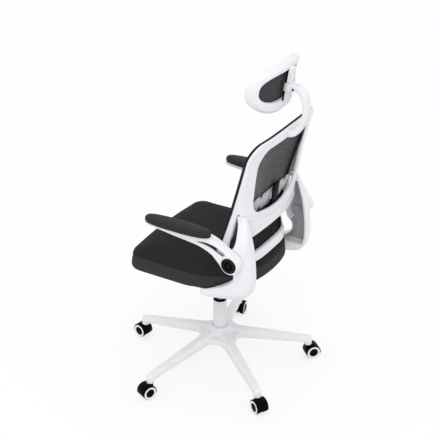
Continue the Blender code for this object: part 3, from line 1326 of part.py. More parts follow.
def build_headrest(white, black, steel, tilt):
    pin = neck_pin_point()
    neck = add_piece("neck_bracket", neck_solid(), white, tilt)
    combine(neck, rod_x(KNUCKLE_RADIUS, -NECK_HALF_WIDTH, NECK_HALF_WIDTH, pin.y, pin.z, 16), "UNION")
    deep = knuckle_depth() + 2 * KNUCKLE_RADIUS
    combine(neck, fork_slot(KNUCKLE_RADIUS + SLACK, deep, KNUCKLE_HALF_WIDTH + GAP), "DIFFERENCE")
    bore = NECK_PIN_RADIUS + GAP
    combine(neck, rod_x(bore, -2 * NECK_HALF_WIDTH, 2 * NECK_HALF_WIDTH, pin.y, pin.z, 12), "DIFFERENCE")
    hinge = make_empty("headrest_axis", pin)
    hinge.parent = tilt
    hinge.matrix_parent_inverse = Matrix.Translation(tilt.location).inverted()
    block = add_piece("headrest_block", block_solid(), white, hinge, pin)
    root = -(RIB_DEPTH + GAP) - BLOCK_WALL * 0.5
    combine(block, tongue_solid(KNUCKLE_RADIUS, root, KNUCKLE_HALF_WIDTH), "UNION")
    combine(block, rod_x(bore, -2 * NECK_HALF_WIDTH, 2 * NECK_HALF_WIDTH, pin.y, pin.z, 12), "DIFFERENCE")
    reach = NECK_HALF_WIDTH - GAP
    add_piece("neck_pin", rod_x(NECK_PIN_RADIUS, -reach, reach, pin.y, pin.z, 12), steel, hinge, pin)
    frame = add_piece("headrest_frame", head_frame_solid(), white, hinge, pin)
    rib_half = HEAD_HOLE_HALF_HEIGHT + 0.010
    rib = [[head_place(0.0, up, depth) + Vector((x * RIB_HALF_WIDTH, 0.0, 0.0))
            for x, depth in ((-1, 0.005), (1, 0.005), (1, -RIB_DEPTH), (-1, -RIB_DEPTH))]
           for up in (HEAD_HOLE_RISE - rib_half, HEAD_HOLE_RISE + rib_half)]
    combine(frame, loft(rib), "UNION")
    add_piece("headrest_pad", head_pad_solid(), black, hinge, pin)


def main():
    clear_scene()
    white = make_material("white_nylon", (0.86, 0.86, 0.88), 0.35)
    black = make_material("black_nylon", (0.012, 0.012, 0.013), 0.30)
    grey = make_material("grey_plastic", (0.52, 0.52, 0.54), 0.45)
    steel = make_material("steel", (0.55, 0.56, 0.58), 0.30, 1.0)
    wood = make_material("plywood", (0.45, 0.32, 0.19), 0.70)
    fabric = make_material("dark_fabric", (0.035, 0.035, 0.038), 0.90)
    build_star_base(white)
    build_column(white, black, steel)
    build_gas_cylinder(steel)
    build_casters(black, steel)
    build_mechanism(steel, black)
    tilt = make_empty("tilt_axis", (0.0, TILT_AXIS_Y, TILT_AXIS_Z))
    build_tilt_plate(steel, tilt)
    build_seat(wood, fabric, tilt)
    for side, name in ((1, "left"), (-1, "right")):
        build_bracket(side, name, white, steel, tilt)
        build_arm(side, name, white, black, fabric, tilt)
    build_back(white, fabric, tilt)
    build_lumbar(white, grey, tilt)
    build_headrest(white, fabric, steel, tilt)


main()
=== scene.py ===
"""Office chair: the looks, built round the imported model. Metres, +Z up, the sitter faces -Y."""
import json
import math

import bmesh
import bpy
import numpy as np
from mathutils import Matrix, Vector

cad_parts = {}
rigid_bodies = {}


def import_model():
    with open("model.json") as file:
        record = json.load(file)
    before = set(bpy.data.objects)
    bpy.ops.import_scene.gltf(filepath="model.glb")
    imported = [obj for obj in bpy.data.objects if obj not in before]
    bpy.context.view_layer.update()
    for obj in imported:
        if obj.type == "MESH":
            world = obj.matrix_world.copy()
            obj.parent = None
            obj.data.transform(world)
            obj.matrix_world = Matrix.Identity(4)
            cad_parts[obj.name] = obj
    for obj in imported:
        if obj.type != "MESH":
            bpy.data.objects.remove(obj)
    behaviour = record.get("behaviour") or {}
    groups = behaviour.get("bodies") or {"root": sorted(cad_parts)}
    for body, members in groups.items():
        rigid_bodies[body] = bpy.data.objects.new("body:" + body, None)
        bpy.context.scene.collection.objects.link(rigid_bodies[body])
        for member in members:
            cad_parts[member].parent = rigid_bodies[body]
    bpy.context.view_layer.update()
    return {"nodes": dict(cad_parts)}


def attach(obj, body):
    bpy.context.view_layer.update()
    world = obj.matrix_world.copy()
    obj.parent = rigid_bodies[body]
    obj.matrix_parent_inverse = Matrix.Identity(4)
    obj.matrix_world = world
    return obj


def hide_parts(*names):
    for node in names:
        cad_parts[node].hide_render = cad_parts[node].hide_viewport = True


for stray in list(bpy.data.objects):
    bpy.data.objects.remove(stray, do_unlink=True)
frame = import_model()

# Sizes in metres and degrees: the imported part's own, and the scene's
GAP = 0.0003
SLACK = 0.0006
LEG_COUNT = 5
FIRST_LEG_ANGLE = 270.0
STEM_CIRCLE_RADIUS = 0.325
LEG_SLOPE = 0.215
LEG_TIP_WIDTH = 0.0290
LEG_ROOT_WIDTH = 0.044
LEG_TIP_DEPTH = 0.024
LEG_ROOT_DEPTH = 0.037
LEG_WALL = 0.004
LEG_POCKETS = 4
RIB_THICKNESS = 0.0035
SOCKET_HEIGHT = 0.036
SOCKET_WALL = 0.0088
HUB_TOP_RADIUS = 0.036
HUB_SKIRT_RADIUS = 0.052
HUB_RISE = 0.013
HUB_SKIRT_DROP = 0.003
WEB_REACH = 0.105
WEB_ROOT = 0.024
WEB_OVERLAP = 0.002
WEB_FLOOR_DROP = 0.032
WEB_CREST_DROP = 0.009
HUB_TUBE_WALL = 0.0075
HUB_TUBE_DROP = 0.018
BORE_MARGIN = 0.002
WHEEL_RADIUS = 0.0255
WHEEL_WIDTH = 0.0187
WHEEL_SHOULDER = 0.0026
WHEEL_FACETS = 16
CHEEK_FACETS = 16
CASTER_TRAIL = 0.0157
CASTER_HEADINGS = (-10.7, -6.2, 6.3, 12.0, -5.7)
HOOD_WALL = 0.0013
HOOD_WEB = 0.0088
HOOD_CUT_HEIGHT = 0.019
AXLE_RADIUS = 0.0032
STEM_RADIUS = 0.0055
STEM_FLANGE_RADIUS = 0.0098
STEM_FLANGE = 0.0012
STEM_INSERT = 0.020
STEM_CLEARANCE = 0.0008
COLUMN_RADIUS = 0.0245
COLUMN_WALL = 0.0022
COLUMN_TAPER = 0.0012
COLUMN_EXPOSED = 0.104
COLUMN_FOOT_DROP = 0.006
COLUMN_FLOOR = 0.003
COLUMN_RIM = 0.0012
BUSH_FLANGE = 0.0045
BUSH_LENGTH = 0.060
CYLINDER_RADIUS = 0.014
ROD_RADIUS = 0.005
SEAT_BOTTOM = 0.452
SEAT_HALF_WIDTH = 0.240
SEAT_FRONT = -0.245
SEAT_REAR = 0.221
SEAT_FRONT_CORNER = 0.060
SEAT_BOW = 0.010
SEAM_SHARE = 0.72
CUSHION_SIDE = 0.060
CUSHION_CROWN = 0.020
CUSHION_DRAW_IN = 0.002
CUSHION_SHRINK = 0.003
WELT_RADIUS = 0.0012
WELT_START = 0.012
CUSHION_ROLL = 0.012
WATERFALL = 0.005
BRACKET_TUCK = 0.0045
BRACKET_INNER_X = 0.178
BRACKET_ROUNDING = 0.036
BRACKET_SOFT = 0.005
BRACKET_STEPS = 96
LEAN_RISE = 0.030
SEAM_RISE = 0.285
BRACKET_WEB = 0.022
POCKET_RISE = 0.014
POCKET_DROP = 0.022
POCKET_FRONT_WALL = 0.003
POCKET_REAR_WALL = 0.009
PIVOT_Y = 0.1927
PIVOT_RISE = 0.1425
PIVOT_RADIUS = 0.008
ARM_THICKNESS = 0.034
ARM_INNER_SOFT = 0.0025
ARM_OUTER_SOFT = 0.0045
SPREAD_START = 0.051
SPREAD_END = 0.216
ARM_PAD_OVERHANG = 0.025
ARM_PAD_RISE = 0.0825
PAD_CENTRE_Y = -0.0040
PAD_HALF_LENGTH = 0.1250
PAD_HALF_WIDTH = 0.030
PAD_THICKNESS = 0.022
PAD_INNER_LIP = 0.008
PAD_OUTER_LIP = 0.011
CAP_RADIUS = 0.0272
CAP_RIM = 0.0075
CAP_THICKNESS = 0.0032
CAP_DISH = 0.62
SLOT_GROW = 0.0022
SLOT_FLARE = 0.020
STOP_INSET = 0.009
BACK_HALF_WIDTH = 0.221
WAIST_HALF_WIDTH = 0.192
BACK_TOP_RISE = 0.550
BACK_BOTTOM_RISE = 0.075
BACK_TOP_CORNER = 0.060
BACK_BOTTOM_CORNER = 0.085
HOOP_WIDTH = 0.018
HOOP_BOTTOM_WIDTH = 0.037
HOOP_LEAST_DEPTH = 0.0068
HOOP_SOFT = 0.0025
FRAME_THICKNESS = 0.012
FRAME_SOFT = 0.002
FRAME_SETBACK = 0.003
FRAME_SIDE_INSET = 0.001
FRAME_TOP_INSET = 0.002
REAR_Y = 0.2005
REAR_RISE = 0.306
REAR_LEAN = 0.132
REAR_TOP_KICK = 0.007
REAR_BOW = 0.030
REAR_LEAST_DEPTH = 0.009
CURVE_SOFTNESS = 0.02
OPENING_HALF_WIDTH = 0.168
OPENING_TOP_RISE = 0.514
OPENING_BOTTOM_RISE = 0.262
OPENING_CORNER = 0.060
RAIL_ARCH = 0.012
RAIL_LOW_RISE = 0.180
GROOVE_WIDTH = 0.0028
GROOVE_DEPTH = 0.0034
MESH_OVERHANG = 0.0015
MESH_REST = 0.0013
PANEL_INSET = 0.003
PANEL_REAR = 0.0003
PANEL_FRONT = 0.0011
PANEL_MIDDLE = 0.0007
PANEL_HALF = 0.0004
HEAD_Y = 0.250
HEAD_RISE = 0.690
HEAD_LEAN = 9.1
HEAD_HALF_WIDTH = 0.143
HEAD_HALF_HEIGHT = 0.0865
HEAD_SHIFT = -0.003
HEAD_ROUNDNESS = 2.4
HEAD_HOLE_HALF_WIDTH = 0.122
HEAD_HOLE_HALF_HEIGHT = 0.0525
HEAD_HOLE_RISE = 0.0045
HEAD_DEPTH = 0.030
HEAD_PLATE = 0.014
HEAD_WALL = 0.005
HEAD_CURVE = 1.45
HEAD_WRAP = 52.0
HEAD_STEPS = 272
HEAD_PAD_CROWN = 0.014
RIB_HALF_WIDTH = 0.013
RIB_DEPTH = 0.012
RAIL_OVERLAP = 0.010
BLOCK_HALF_HEIGHT = 0.014
BLOCK_WALL = 0.0055
KNUCKLE_RADIUS = 0.0085
KNUCKLE_HALF_WIDTH = 0.0085
KNUCKLE_MARGIN = 0.001
TONGUE_SWING = 22.0
NECK_HALF_WIDTH = 0.018
NECK_DEPTH = 0.017
NECK_PIN_RADIUS = 0.003
NECK_ROOT_DROP = 0.020
SCREW_RECESS = 0.0046
SCREW_SINK = 0.0022
AXLE_HEIGHT = WHEEL_RADIUS
WHEEL_CORNER = WHEEL_RADIUS / math.cos(math.pi / WHEEL_FACETS)
CHEEK_RADIUS = (WHEEL_CORNER + GAP) / math.cos(math.pi / CHEEK_FACETS)
HOOD_RADIUS = CHEEK_RADIUS + HOOD_WALL
WHEEL_INNER = HOOD_WEB / 2 + SLACK / 2
WHEEL_OUTER = WHEEL_INNER + WHEEL_WIDTH
HOOD_HALF_WIDTH = WHEEL_OUTER - WHEEL_SHOULDER
SOCKET_BOTTOM = AXLE_HEIGHT + HOOD_RADIUS + STEM_FLANGE + GAP
SOCKET_RADIUS = STEM_RADIUS + SOCKET_WALL
LEG_TIP_TOP = SOCKET_BOTTOM + SOCKET_HEIGHT
LEG_ROOT_TOP = LEG_TIP_TOP + LEG_SLOPE * (STEM_CIRCLE_RADIUS - HUB_SKIRT_RADIUS)
HUB_TOP = LEG_ROOT_TOP + HUB_RISE
HUB_BOTTOM = LEG_ROOT_TOP - LEG_ROOT_DEPTH - HUB_SKIRT_DROP
COLUMN_TOP = HUB_TOP + COLUMN_EXPOSED
COLUMN_BOTTOM = HUB_BOTTOM - HUB_TUBE_DROP - COLUMN_FOOT_DROP
COLUMN_INNER = COLUMN_RADIUS - COLUMN_WALL - COLUMN_TAPER
SEAM_Z = SEAT_BOTTOM + SEAM_RISE
PIVOT_Z = SEAT_BOTTOM + PIVOT_RISE
BRACKET_OUTER_X = SEAT_HALF_WIDTH - BRACKET_TUCK
ARM_INNER_X = BRACKET_OUTER_X + SLACK
ARM_OUTER_X = ARM_INNER_X + ARM_THICKNESS
PAD_X = ARM_OUTER_X - PAD_HALF_WIDTH + ARM_PAD_OVERHANG
PAD_BOTTOM = PIVOT_Z + ARM_PAD_RISE + GAP
BACK_TOP = SEAT_BOTTOM + BACK_TOP_RISE
BACK_BOTTOM = SEAT_BOTTOM + BACK_BOTTOM_RISE
HEAD_CENTRE = Vector((0.0, HEAD_Y, SEAT_BOTTOM + HEAD_RISE))
SEAT_REAR_EDGE = ((1.0, 0.0), (0.985, 0.283), (0.929, 0.43), (0.846, 0.582), (0.733, 0.738), (0.604, 0.855),
                  (0.454, 0.935), (0.27, 0.978), (0.0, 1.0))
BRACKET_FRONT_EDGE = ((0.177, SEAM_RISE), (0.1875, 0.240), (0.189, 0.196), (0.168, 0.158), (0.165, 0.122),
                      (0.187, 0.092), (0.181, 0.058), (0.143, 0.027), (0.098, 0.008), (0.061, -0.003))
BRACKET_REAR_EDGE = ((0.207, SEAM_RISE), (0.221, 0.240), (0.233, 0.198), (0.241, 0.145), (0.2455, 0.090),
                     (0.2440, 0.040), (0.229, 0.002), (0.197, -0.0160), (0.145, -0.0250), (0.098, -0.0300),
                     (0.061, -0.0305))
ARM_TOP_EDGE = ((-0.0717, 0.0790), (-0.0517, 0.0710), (-0.0317, 0.0605), (-0.0137, 0.0490), (0.0040, 0.0375))
ARM_LOW_EDGE = ((-0.0385, -0.0050), (-0.0520, 0.0090), (-0.0697, 0.0245), (-0.1077, 0.0421),
                (-0.1462, 0.0517), (-0.2012, 0.0611), (-0.2563, 0.0680), (-0.2957, 0.0725), (-0.3137, 0.0760))
STOP_CORNERS = ((-0.0450, 0.0530), (-0.0180, 0.0390), (-0.0235, 0.0270), (-0.0505, 0.0390))
ARM_SLOT = ((-0.1177, 0.0595), (-0.0877, 0.0607), (-0.0587, 0.0557), (-0.0357, 0.0470), (-0.0177, 0.0375),
            (-0.0247, 0.0280), (-0.0407, 0.0340), (-0.0687, 0.0463), (-0.0937, 0.0540))
HOOP_SIDE = ((0.05, 0.084), (0.15, 0.111), (0.25, 0.144), (0.35, 0.177), (0.45, 0.209), (0.56, 0.243))
HOOP_MIDDLE = ((0.05, 0.197), (0.10, 0.190), (0.17, 0.182), (0.25, 0.186), (0.35, 0.208), (0.45, 0.234),
               (0.56, 0.258))
HOOP_DEPTH = ((0.075, 0.012), (0.11, 0.015), (0.14, 0.023), (0.20, 0.027), (0.285, 0.0205), (0.300, 0.036),
              (0.34, 0.032), (0.40, 0.022), (0.47, 0.013), (0.56, 0.006))
BORDER_SECTION = ((0.0, 0.0), (0.0, 0.004), (0.0008, 0.0055), (0.0025, 0.0060), (0.0045, 0.0058),
                  (0.0060, 0.0045), (0.0062, 0.0016), (0.0062, 0.0))
WARP_PITCH = 0.0030
WARP_WIDTH = 0.0011
WARP_RISE = 0.00041
HEAD_UP = Vector((0.0, math.sin(math.radians(HEAD_LEAN)), math.cos(math.radians(HEAD_LEAN))))
HEAD_FRONT = Vector((0.0, -math.cos(math.radians(HEAD_LEAN)), math.sin(math.radians(HEAD_LEAN))))

# How the cushions swell
SWELL_FRAMES = 20
SWELL_CLOTH = {"quality": 6, "mass": 0.3, "tension_stiffness": 18.0, "compression_stiffness": 18.0,
               "shear_stiffness": 8.0, "bending_stiffness": 1.5, "use_pressure": True,
               "uniform_pressure_force": 3.0, "vertex_group_mass": "held"}

# The camera, fitted to the photograph, and what lights the scene
CAMERA_LENS = 106.36
CAMERA_SENSOR = 36.0
CAMERA_PLACE = (3.4128, 2.0320, 2.7212)
CAMERA_AIM = (0.0, 0.0, 0.587)
FLOOR_HALF = 30.0
FLOOR_DROP = 0.0006
FLOOR_LIT = (0.80, 0.80, 0.80)
FLOOR_GLOW = 0.75
SEEN_WHITE = (1.0, 1.0, 1.0)
WORLD_COLOUR = (0.965, 0.97, 1.0)
WORLD_STRENGTH = 0.95
LAMP_PLACE = (2.4, 1.2, 3.1)
LAMP_AIM = (0.0, 0.05, 0.5)
LAMP_SIZE = 1.8
LAMP_POWER = 24.0


# Curves, outlines and solids


def blend(a, b, share):
    return a + (b - a) * share


def ramp(value, low, high):
    """0 below low, 1 above high, and a smooth rise between them."""
    share = min(1.0, max(0.0, (value - low) / (high - low)))
    return share * share * (3.0 - 2.0 * share)


def smooth_path(points, count, closed=False):
    """Points on a smooth curve through a few chosen ones."""
    knots = [Vector(p) for p in points]
    last = len(knots) if closed else len(knots) - 1
    result = []
    for step in range(count):
        place = last * step / (count if closed else count - 1)
        index = min(int(place), last - 1)
        t = place - index
        if closed:
            a, b, c, d = (knots[(index + k) % len(knots)] for k in (-1, 0, 1, 2))
        else:
            b, c = knots[index], knots[index + 1]
            a = knots[index - 1] if index > 0 else b + (b - c)
            d = knots[index + 2] if index + 2 < len(knots) else c + (c - b)
        result.append(b + (c - a) * (t / 2) + (a * 2 - b * 5 + c * 4 - d) * (t * t / 2)
                      + (b * 3 - a - c * 3 + d) * (t * t * t / 2))
    return result


def arc(centre, radius, start, end, steps):
    angles = [math.radians(blend(start, end, k / steps)) for k in range(steps + 1)]
    return [Vector((centre[0] + radius * math.cos(a), centre[1] + radius * math.sin(a))) for a in angles]


def circle(radius, steps):
    angles = [math.tau * k / steps for k in range(steps)]
    return [Vector((radius * math.cos(a), radius * math.sin(a))) for a in angles]


def superellipse(half_width, half_height, power, steps):
    points = []
    for k in range(steps):
        c, s = math.cos(math.tau * k / steps), math.sin(math.tau * k / steps)
        points.append(Vector((half_width * math.copysign(abs(c) ** (2 / power), c),
                              half_height * math.copysign(abs(s) ** (2 / power), s))))
    return points


def pairs_round(loop):
    """Each point of a closed line with the one after it."""
    return list(zip(loop, loop[1:] + loop[:1]))


def mirrored(points):
    """The points on the other side of the middle, in the order that goes on round an outline."""
    return [Vector((-p.x, p.y)) for p in reversed(points)]


def signed_area(loop):
    return sum(a.x * b.y - b.x * a.y for a, b in pairs_round(loop)) / 2


def inset_loop(loop, distance):
    """The outline moved inwards by a distance, corner by corner."""
    side = 1.0 if signed_area(loop) > 0 else -1.0
    result = []
    for before, point, after in zip(loop[-1:] + loop[:-1], loop, loop[1:] + loop[:1]):
        one = (point - before).normalized()
        two = (after - point).normalized()
        normal = Vector((-one.y - two.y, one.x + two.x)).normalized()
        lean = max(0.35, normal.dot(Vector((-one.y, one.x))))
        result.append(point + normal * (side * distance / lean))
    return result


def skin_rows(bm, rows, closed=False):
    """Faces between rows of corners. A row of one corner is a tip, and closed rows run round to the first."""
    pairs = list(zip(rows, rows[1:]))
    if closed:
        pairs.append((rows[-1], rows[0]))
    for one, two in pairs:
        count = max(len(one), len(two))
        for k in range(count):
            n = (k + 1) % count
            if len(one) == 1:
                bm.faces.new((one[0], two[n], two[k]))
            elif len(two) == 1:
                bm.faces.new((one[k], one[n], two[0]))
            else:
                bm.faces.new((one[k], one[n], two[n], two[k]))


def loft(rings, closed=False):
    """A skin over rings of equal length. A closed one runs round, another is capped at both ends."""
    bm = bmesh.new()
    rows = [[bm.verts.new(point) for point in ring] for ring in rings]
    skin_rows(bm, rows, closed)
    if not closed:
        bm.faces.new(rows[0])
        bm.faces.new(rows[-1])
    return bm


def turned(profile, steps, place=None, loop=False):
    """A profile of (radius, height) points turned about the height axis.

    A loop joins its last point to its first; any other profile starts and ends on the axis.
    """
    bm = bmesh.new()
    place = place or flat
    rows = []
    for radius, height in profile:
        ring = circle(radius, steps) if radius else [Vector((0.0, 0.0))]
        rows.append([bm.verts.new(place(p.x, p.y, height)) for p in ring])
    skin_rows(bm, rows, loop)
    return bm


def moulding(loops, low, high, place, soft_low=0.0, soft_high=0.0):
    """A plate between two depths. The first loop is its outline, the others are holes through it.

    The soft sizes round its rims. place turns (across, up, depth) into a point.
    """
    bm = bmesh.new()
    corner = 1.0 - math.sqrt(0.5)
    steps = [(low, 0.0)]
    if soft_low:
        steps = [(low, soft_low), (low + corner * soft_low, corner * soft_low), (low + soft_low, 0.0)]
    if soft_high:
        steps += [(high - soft_high, 0.0), (high - corner * soft_high, corner * soft_high), (high, soft_high)]
    else:
        steps.append((high, 0.0))
    rims = ([], [])
    for index, loop in enumerate(loops):
        inward = 1.0 if index == 0 else -1.0
        rows = []
        for depth, inset in steps:
            ring = inset_loop(loop, inward * inset) if inset else loop
            rows.append([bm.verts.new(place(p.x, p.y, depth)) for p in ring])
        skin_rows(bm, rows)
        for rim, row in zip(rims, (rows[0], rows[-1])):
            rim.extend(bm.edges.get(pair) for pair in pairs_round(row))
    for rim in rims:
        bmesh.ops.triangle_fill(bm, use_beauty=True, use_dissolve=False, edges=rim)
    return bm


def merged(parts):
    """Several solids as one."""
    bm = bmesh.new()
    for part in parts:
        mesh = bpy.data.meshes.new("scratch")
        part.to_mesh(mesh)
        part.free()
        bm.from_mesh(mesh)
        bpy.data.meshes.remove(mesh)
    return bm


def moved(bm, change):
    """Send every corner of a solid through a function of its place."""
    for vertex in bm.verts:
        vertex.co = change(vertex.co.copy())
    return bm


def along_x(side):
    """Place a YZ outline with its depth along X, on the left (+1) or the right (-1)."""
    return lambda u, v, w: Vector((side * w, u, v))


def flat(u, v, w):
    return Vector((u, v, w))


def rod(radius, low, high, steps, place):
    return turned([(0.0, low), (radius, low), (radius, high), (0.0, high)], steps, place)


def rod_x(radius, low, high, y, z, steps):
    """A round bar along X."""
    return rod(radius, low, high, steps, lambda u, v, w: Vector((w, y + u, z + v)))


def rod_z(radius, low, high, x, y, steps):
    """A round bar along Z."""
    return rod(radius, low, high, steps, lambda u, v, w: Vector((x + u, y + v, w)))


def leg_turn(index):
    return math.radians(FIRST_LEG_ANGLE + 360.0 * index / LEG_COUNT)


def leg_ring(index, radius, section):
    """A section across a leg, given as (across, height), at a distance from the column."""
    turn = Matrix.Rotation(leg_turn(index), 3, "Z")
    return [turn @ Vector((radius, across, height)) for across, height in section]


def leg_top(radius):
    return LEG_TIP_TOP + LEG_SLOPE * (STEM_CIRCLE_RADIUS - radius)


def leg_share(radius):
    return (radius - HUB_SKIRT_RADIUS) / (STEM_CIRCLE_RADIUS - HUB_SKIRT_RADIUS)


def leg_width(radius):
    return blend(LEG_ROOT_WIDTH, LEG_TIP_WIDTH, leg_share(radius))


def leg_depth(radius):
    return blend(LEG_ROOT_DEPTH, LEG_TIP_DEPTH, leg_share(radius))


def leg_section(half_width, top, depth):
    """A crowned section, narrower at its crest than at its open underside."""
    right = [(1.0, 1.0), (0.97, 0.62), (0.92, 0.38), (0.82, 0.19), (0.66, 0.08), (0.46, 0.02), (0.22, 0.0)]
    half = smooth_path([(half_width * across, top - depth * down) for across, down in right], 16)
    return half + mirrored(half)


def leg_solid(index):
    """Sections out to the stem, and then a round end over the socket."""
    rings = []
    for share in (-0.10, 0.1, 0.3, 0.5, 0.7, 0.85, 1.0):
        radius = blend(HUB_SKIRT_RADIUS, STEM_CIRCLE_RADIUS, share)
        section = leg_section(leg_width(radius) / 2, leg_top(radius), leg_depth(radius))
        rings.append(leg_ring(index, radius, section))
    for angle in (10.0, 20.0, 30.0, 40.0, 50.0, 60.0, 68.0, 75.0, 81.0, 85.0):
        bend = math.radians(angle)
        radius = STEM_CIRCLE_RADIUS + SOCKET_RADIUS * math.sin(bend)
        drop = 0.5 * LEG_TIP_DEPTH * (1.0 - math.cos(bend))
        section = leg_section(LEG_TIP_WIDTH / 2 * math.cos(bend), LEG_TIP_TOP - drop, LEG_TIP_DEPTH - drop)
        rings.append(leg_ring(index, radius, section))
    return loft(rings)


def web_solid(index):
    """The fillet between a leg and the next, with a hollow round edge."""

    def towards(turn):
        return Vector((math.cos(turn), math.sin(turn)))

    first, last = leg_turn(index), leg_turn(index + 1)
    middle, half = (first + last) / 2, (last - first) / 2
    reach = WEB_REACH / math.cos(half)
    round_edge = reach * math.sin(half) - leg_width(WEB_REACH) / 2 + WEB_OVERLAP
    centre = towards(middle) * reach
    swing = math.pi / 2 - half
    loop = [towards(first) * r for r in (WEB_ROOT, WEB_REACH)]
    for k in range(17):
        turn = middle + math.pi + blend(swing, -swing, k / 16)
        loop.append(centre + towards(turn) * round_edge)
    loop += [towards(last) * r for r in (WEB_REACH, WEB_ROOT)]
    rings = []
    for drop in (WEB_FLOOR_DROP, WEB_CREST_DROP):
        rings.append([Vector((p.x, p.y, leg_top(max(p.length, HUB_TOP_RADIUS)) - drop)) for p in loop])
    return loft(rings)


def pocket_solid(index, pocket):
    """The hollow between two ribs under a leg."""
    first = HUB_SKIRT_RADIUS + RIB_THICKNESS
    last = STEM_CIRCLE_RADIUS - SOCKET_RADIUS - RIB_THICKNESS
    pitch = (last - first) / LEG_POCKETS
    rings = []
    for radius in (first + pitch * pocket, first + pitch * (pocket + 1) - RIB_THICKNESS):
        half = leg_width(radius) / 2 - LEG_WALL
        floor = leg_top(radius) - leg_depth(radius) - LEG_WALL
        roof = leg_top(radius) - LEG_WALL * 1.6
        shoulder = roof - leg_depth(radius) * 0.42
        section = [(half, floor), (half * 0.90, shoulder), (half * 0.40, roof)]
        section += [(-across, height) for across, height in reversed(section)]
        rings.append(leg_ring(index, radius, section))
    return loft(rings)


def stem_place(index):
    turn = leg_turn(index)
    return STEM_CIRCLE_RADIUS * math.cos(turn), STEM_CIRCLE_RADIUS * math.sin(turn)


def column_radius_at(height):
    """The tube is straight above the hub and tapers down to its foot inside it."""
    return COLUMN_RADIUS - COLUMN_TAPER * min(1.0, max(0.0, (HUB_TOP - height) / (HUB_TOP - COLUMN_BOTTOM)))


def wheel_place(u, v, w):
    return Vector((w, u, v))


def seat_outline(grow=0.0):
    """Straight sides, rounded front corners and a rear that draws in round a bowed edge."""
    half, front, corner = SEAT_HALF_WIDTH, SEAT_FRONT, SEAT_FRONT_CORNER
    straight = half - corner
    right = [Vector((straight * k / 8, front - SEAT_BOW * (1.0 - (k / 8) ** 2))) for k in range(1, 8)]
    right += arc((straight, front + corner), corner, -90, 0, 18)
    right.append(Vector((half, blend(front + corner, 0.0, 0.5))))
    edge = [(half * across, SEAT_REAR * along) for across, along in SEAT_REAR_EDGE]
    right += smooth_path(edge + [(-edge[-2][0], edge[-2][1])], 82)[:-9]
    right = [p for p in right if p.x > 0.004]
    loop = right + [Vector((0.0, SEAT_REAR))] + mirrored(right)
    loop.append(Vector((0.0, front - SEAT_BOW)))
    return inset_loop(loop, -grow) if grow else loop


def bracket_edges():
    """Matched points on the front and the rear edge, from the seam down and forward."""
    front, rear = (smooth_path([(y, SEAT_BOTTOM + rise) for y, rise in edge], BRACKET_STEPS)
                   for edge in (BRACKET_FRONT_EDGE, BRACKET_REAR_EDGE))
    return list(zip(front, rear))


def bracket_solid(side):
    """Sections from the seam down and forward under the seat, each with a broad round outer rear corner."""
    full = BRACKET_OUTER_X - BRACKET_INNER_X
    rings = []
    for front, rear in bracket_edges():
        across = (rear - front).normalized()
        span = (rear - front).length
        soft = min(BRACKET_SOFT, span * 0.2)
        turn = min(BRACKET_ROUNDING, span * 0.55, full * 0.62)
        section = [(front, BRACKET_INNER_X), (front, BRACKET_OUTER_X - soft),
                   (front + across * soft, BRACKET_OUTER_X)]
        for angle in range(0, 91, 10):
            bend = math.radians(angle)
            section.append((rear - across * (turn * (1.0 - math.sin(bend))),
                            BRACKET_OUTER_X - turn * (1.0 - math.cos(bend))))
        section.append((rear, BRACKET_INNER_X))
        rings.append([Vector((side * x, p.x, p.y)) for p, x in section])
    return loft(rings)


def bracket_pocket():
    """The hollow on the bracket's inner side, inside walls of even thickness."""
    low, high = SEAT_BOTTOM + POCKET_RISE, SEAM_Z - POCKET_DROP
    front_wall, rear_wall = Vector((POCKET_FRONT_WALL, 0.0)), Vector((POCKET_REAR_WALL, 0.0))
    fronts = [front + front_wall for front, rear in bracket_edges() if low < front.y < high]
    rears = [rear - rear_wall for front, rear in bracket_edges() if low < rear.y < high]
    return fronts + list(reversed(rears))


def bracket_lean(point):
    """Draw the outer face in towards the back frame's side as it rises to the seam."""
    full = BRACKET_OUTER_X - BRACKET_INNER_X
    top = (WAIST_HALF_WIDTH - BRACKET_INNER_X) / full
    share = blend(1.0, top, ramp(point.z, PIVOT_Z + LEAN_RISE, SEAM_Z))
    across = abs(point.x) - BRACKET_INNER_X
    point.x = math.copysign(BRACKET_INNER_X + across * share, point.x)
    return point


def from_pivot(points):
    """Points in (y, z) that are given from the arm's pivot."""
    return [Vector((PIVOT_Y + y, PIVOT_Z + z)) for y, z in points]


def arm_outline():
    """The pad's seat, the top edge, the round eye about the pivot and the low edge back to the tip."""
    seat = ARM_PAD_RISE
    top = [Vector(p) for p in ((-0.3197, seat - 0.004), (-0.3167, seat), (-0.2007, seat), (-0.0837, seat))]
    eye = arc((0.0, 0.0), CAP_RADIUS + CAP_RIM, 50, -155, 60)
    loop = top + smooth_path(ARM_TOP_EDGE, 40) + eye + smooth_path(ARM_LOW_EDGE, 60)
    return from_pivot(reversed(loop))


def arm_slot():
    return from_pivot(smooth_path(ARM_SLOT, 72, closed=True))


def arm_spread(point):
    """Swing the arm outwards under the pad, from its place beside the bracket."""
    share = ramp(point.y, PIVOT_Y - SPREAD_END, PIVOT_Y - SPREAD_START)
    inner = blend(PAD_X - PAD_HALF_WIDTH + PAD_INNER_LIP, ARM_INNER_X, share)
    outer = blend(PAD_X + PAD_HALF_WIDTH - PAD_OUTER_LIP, ARM_OUTER_X, share)
    across = (abs(point.x) - ARM_INNER_X) / ARM_THICKNESS
    point.x = math.copysign(blend(inner, outer, across), point.x)
    return point


def curve_value(table, rise):
    """Straight runs between the chosen points, softened where they meet."""
    samples = [straight_value(table, rise + CURVE_SOFTNESS * k / 2) for k in (-2, -1, 0, 1, 2)]
    return sum(samples) / len(samples)


def straight_value(table, rise):
    for (a, low), (b, high) in zip(table, table[1:]):
        if rise <= b or (b, high) == table[-1]:
            return blend(low, high, (rise - a) / (b - a))
    return table[-1][1]


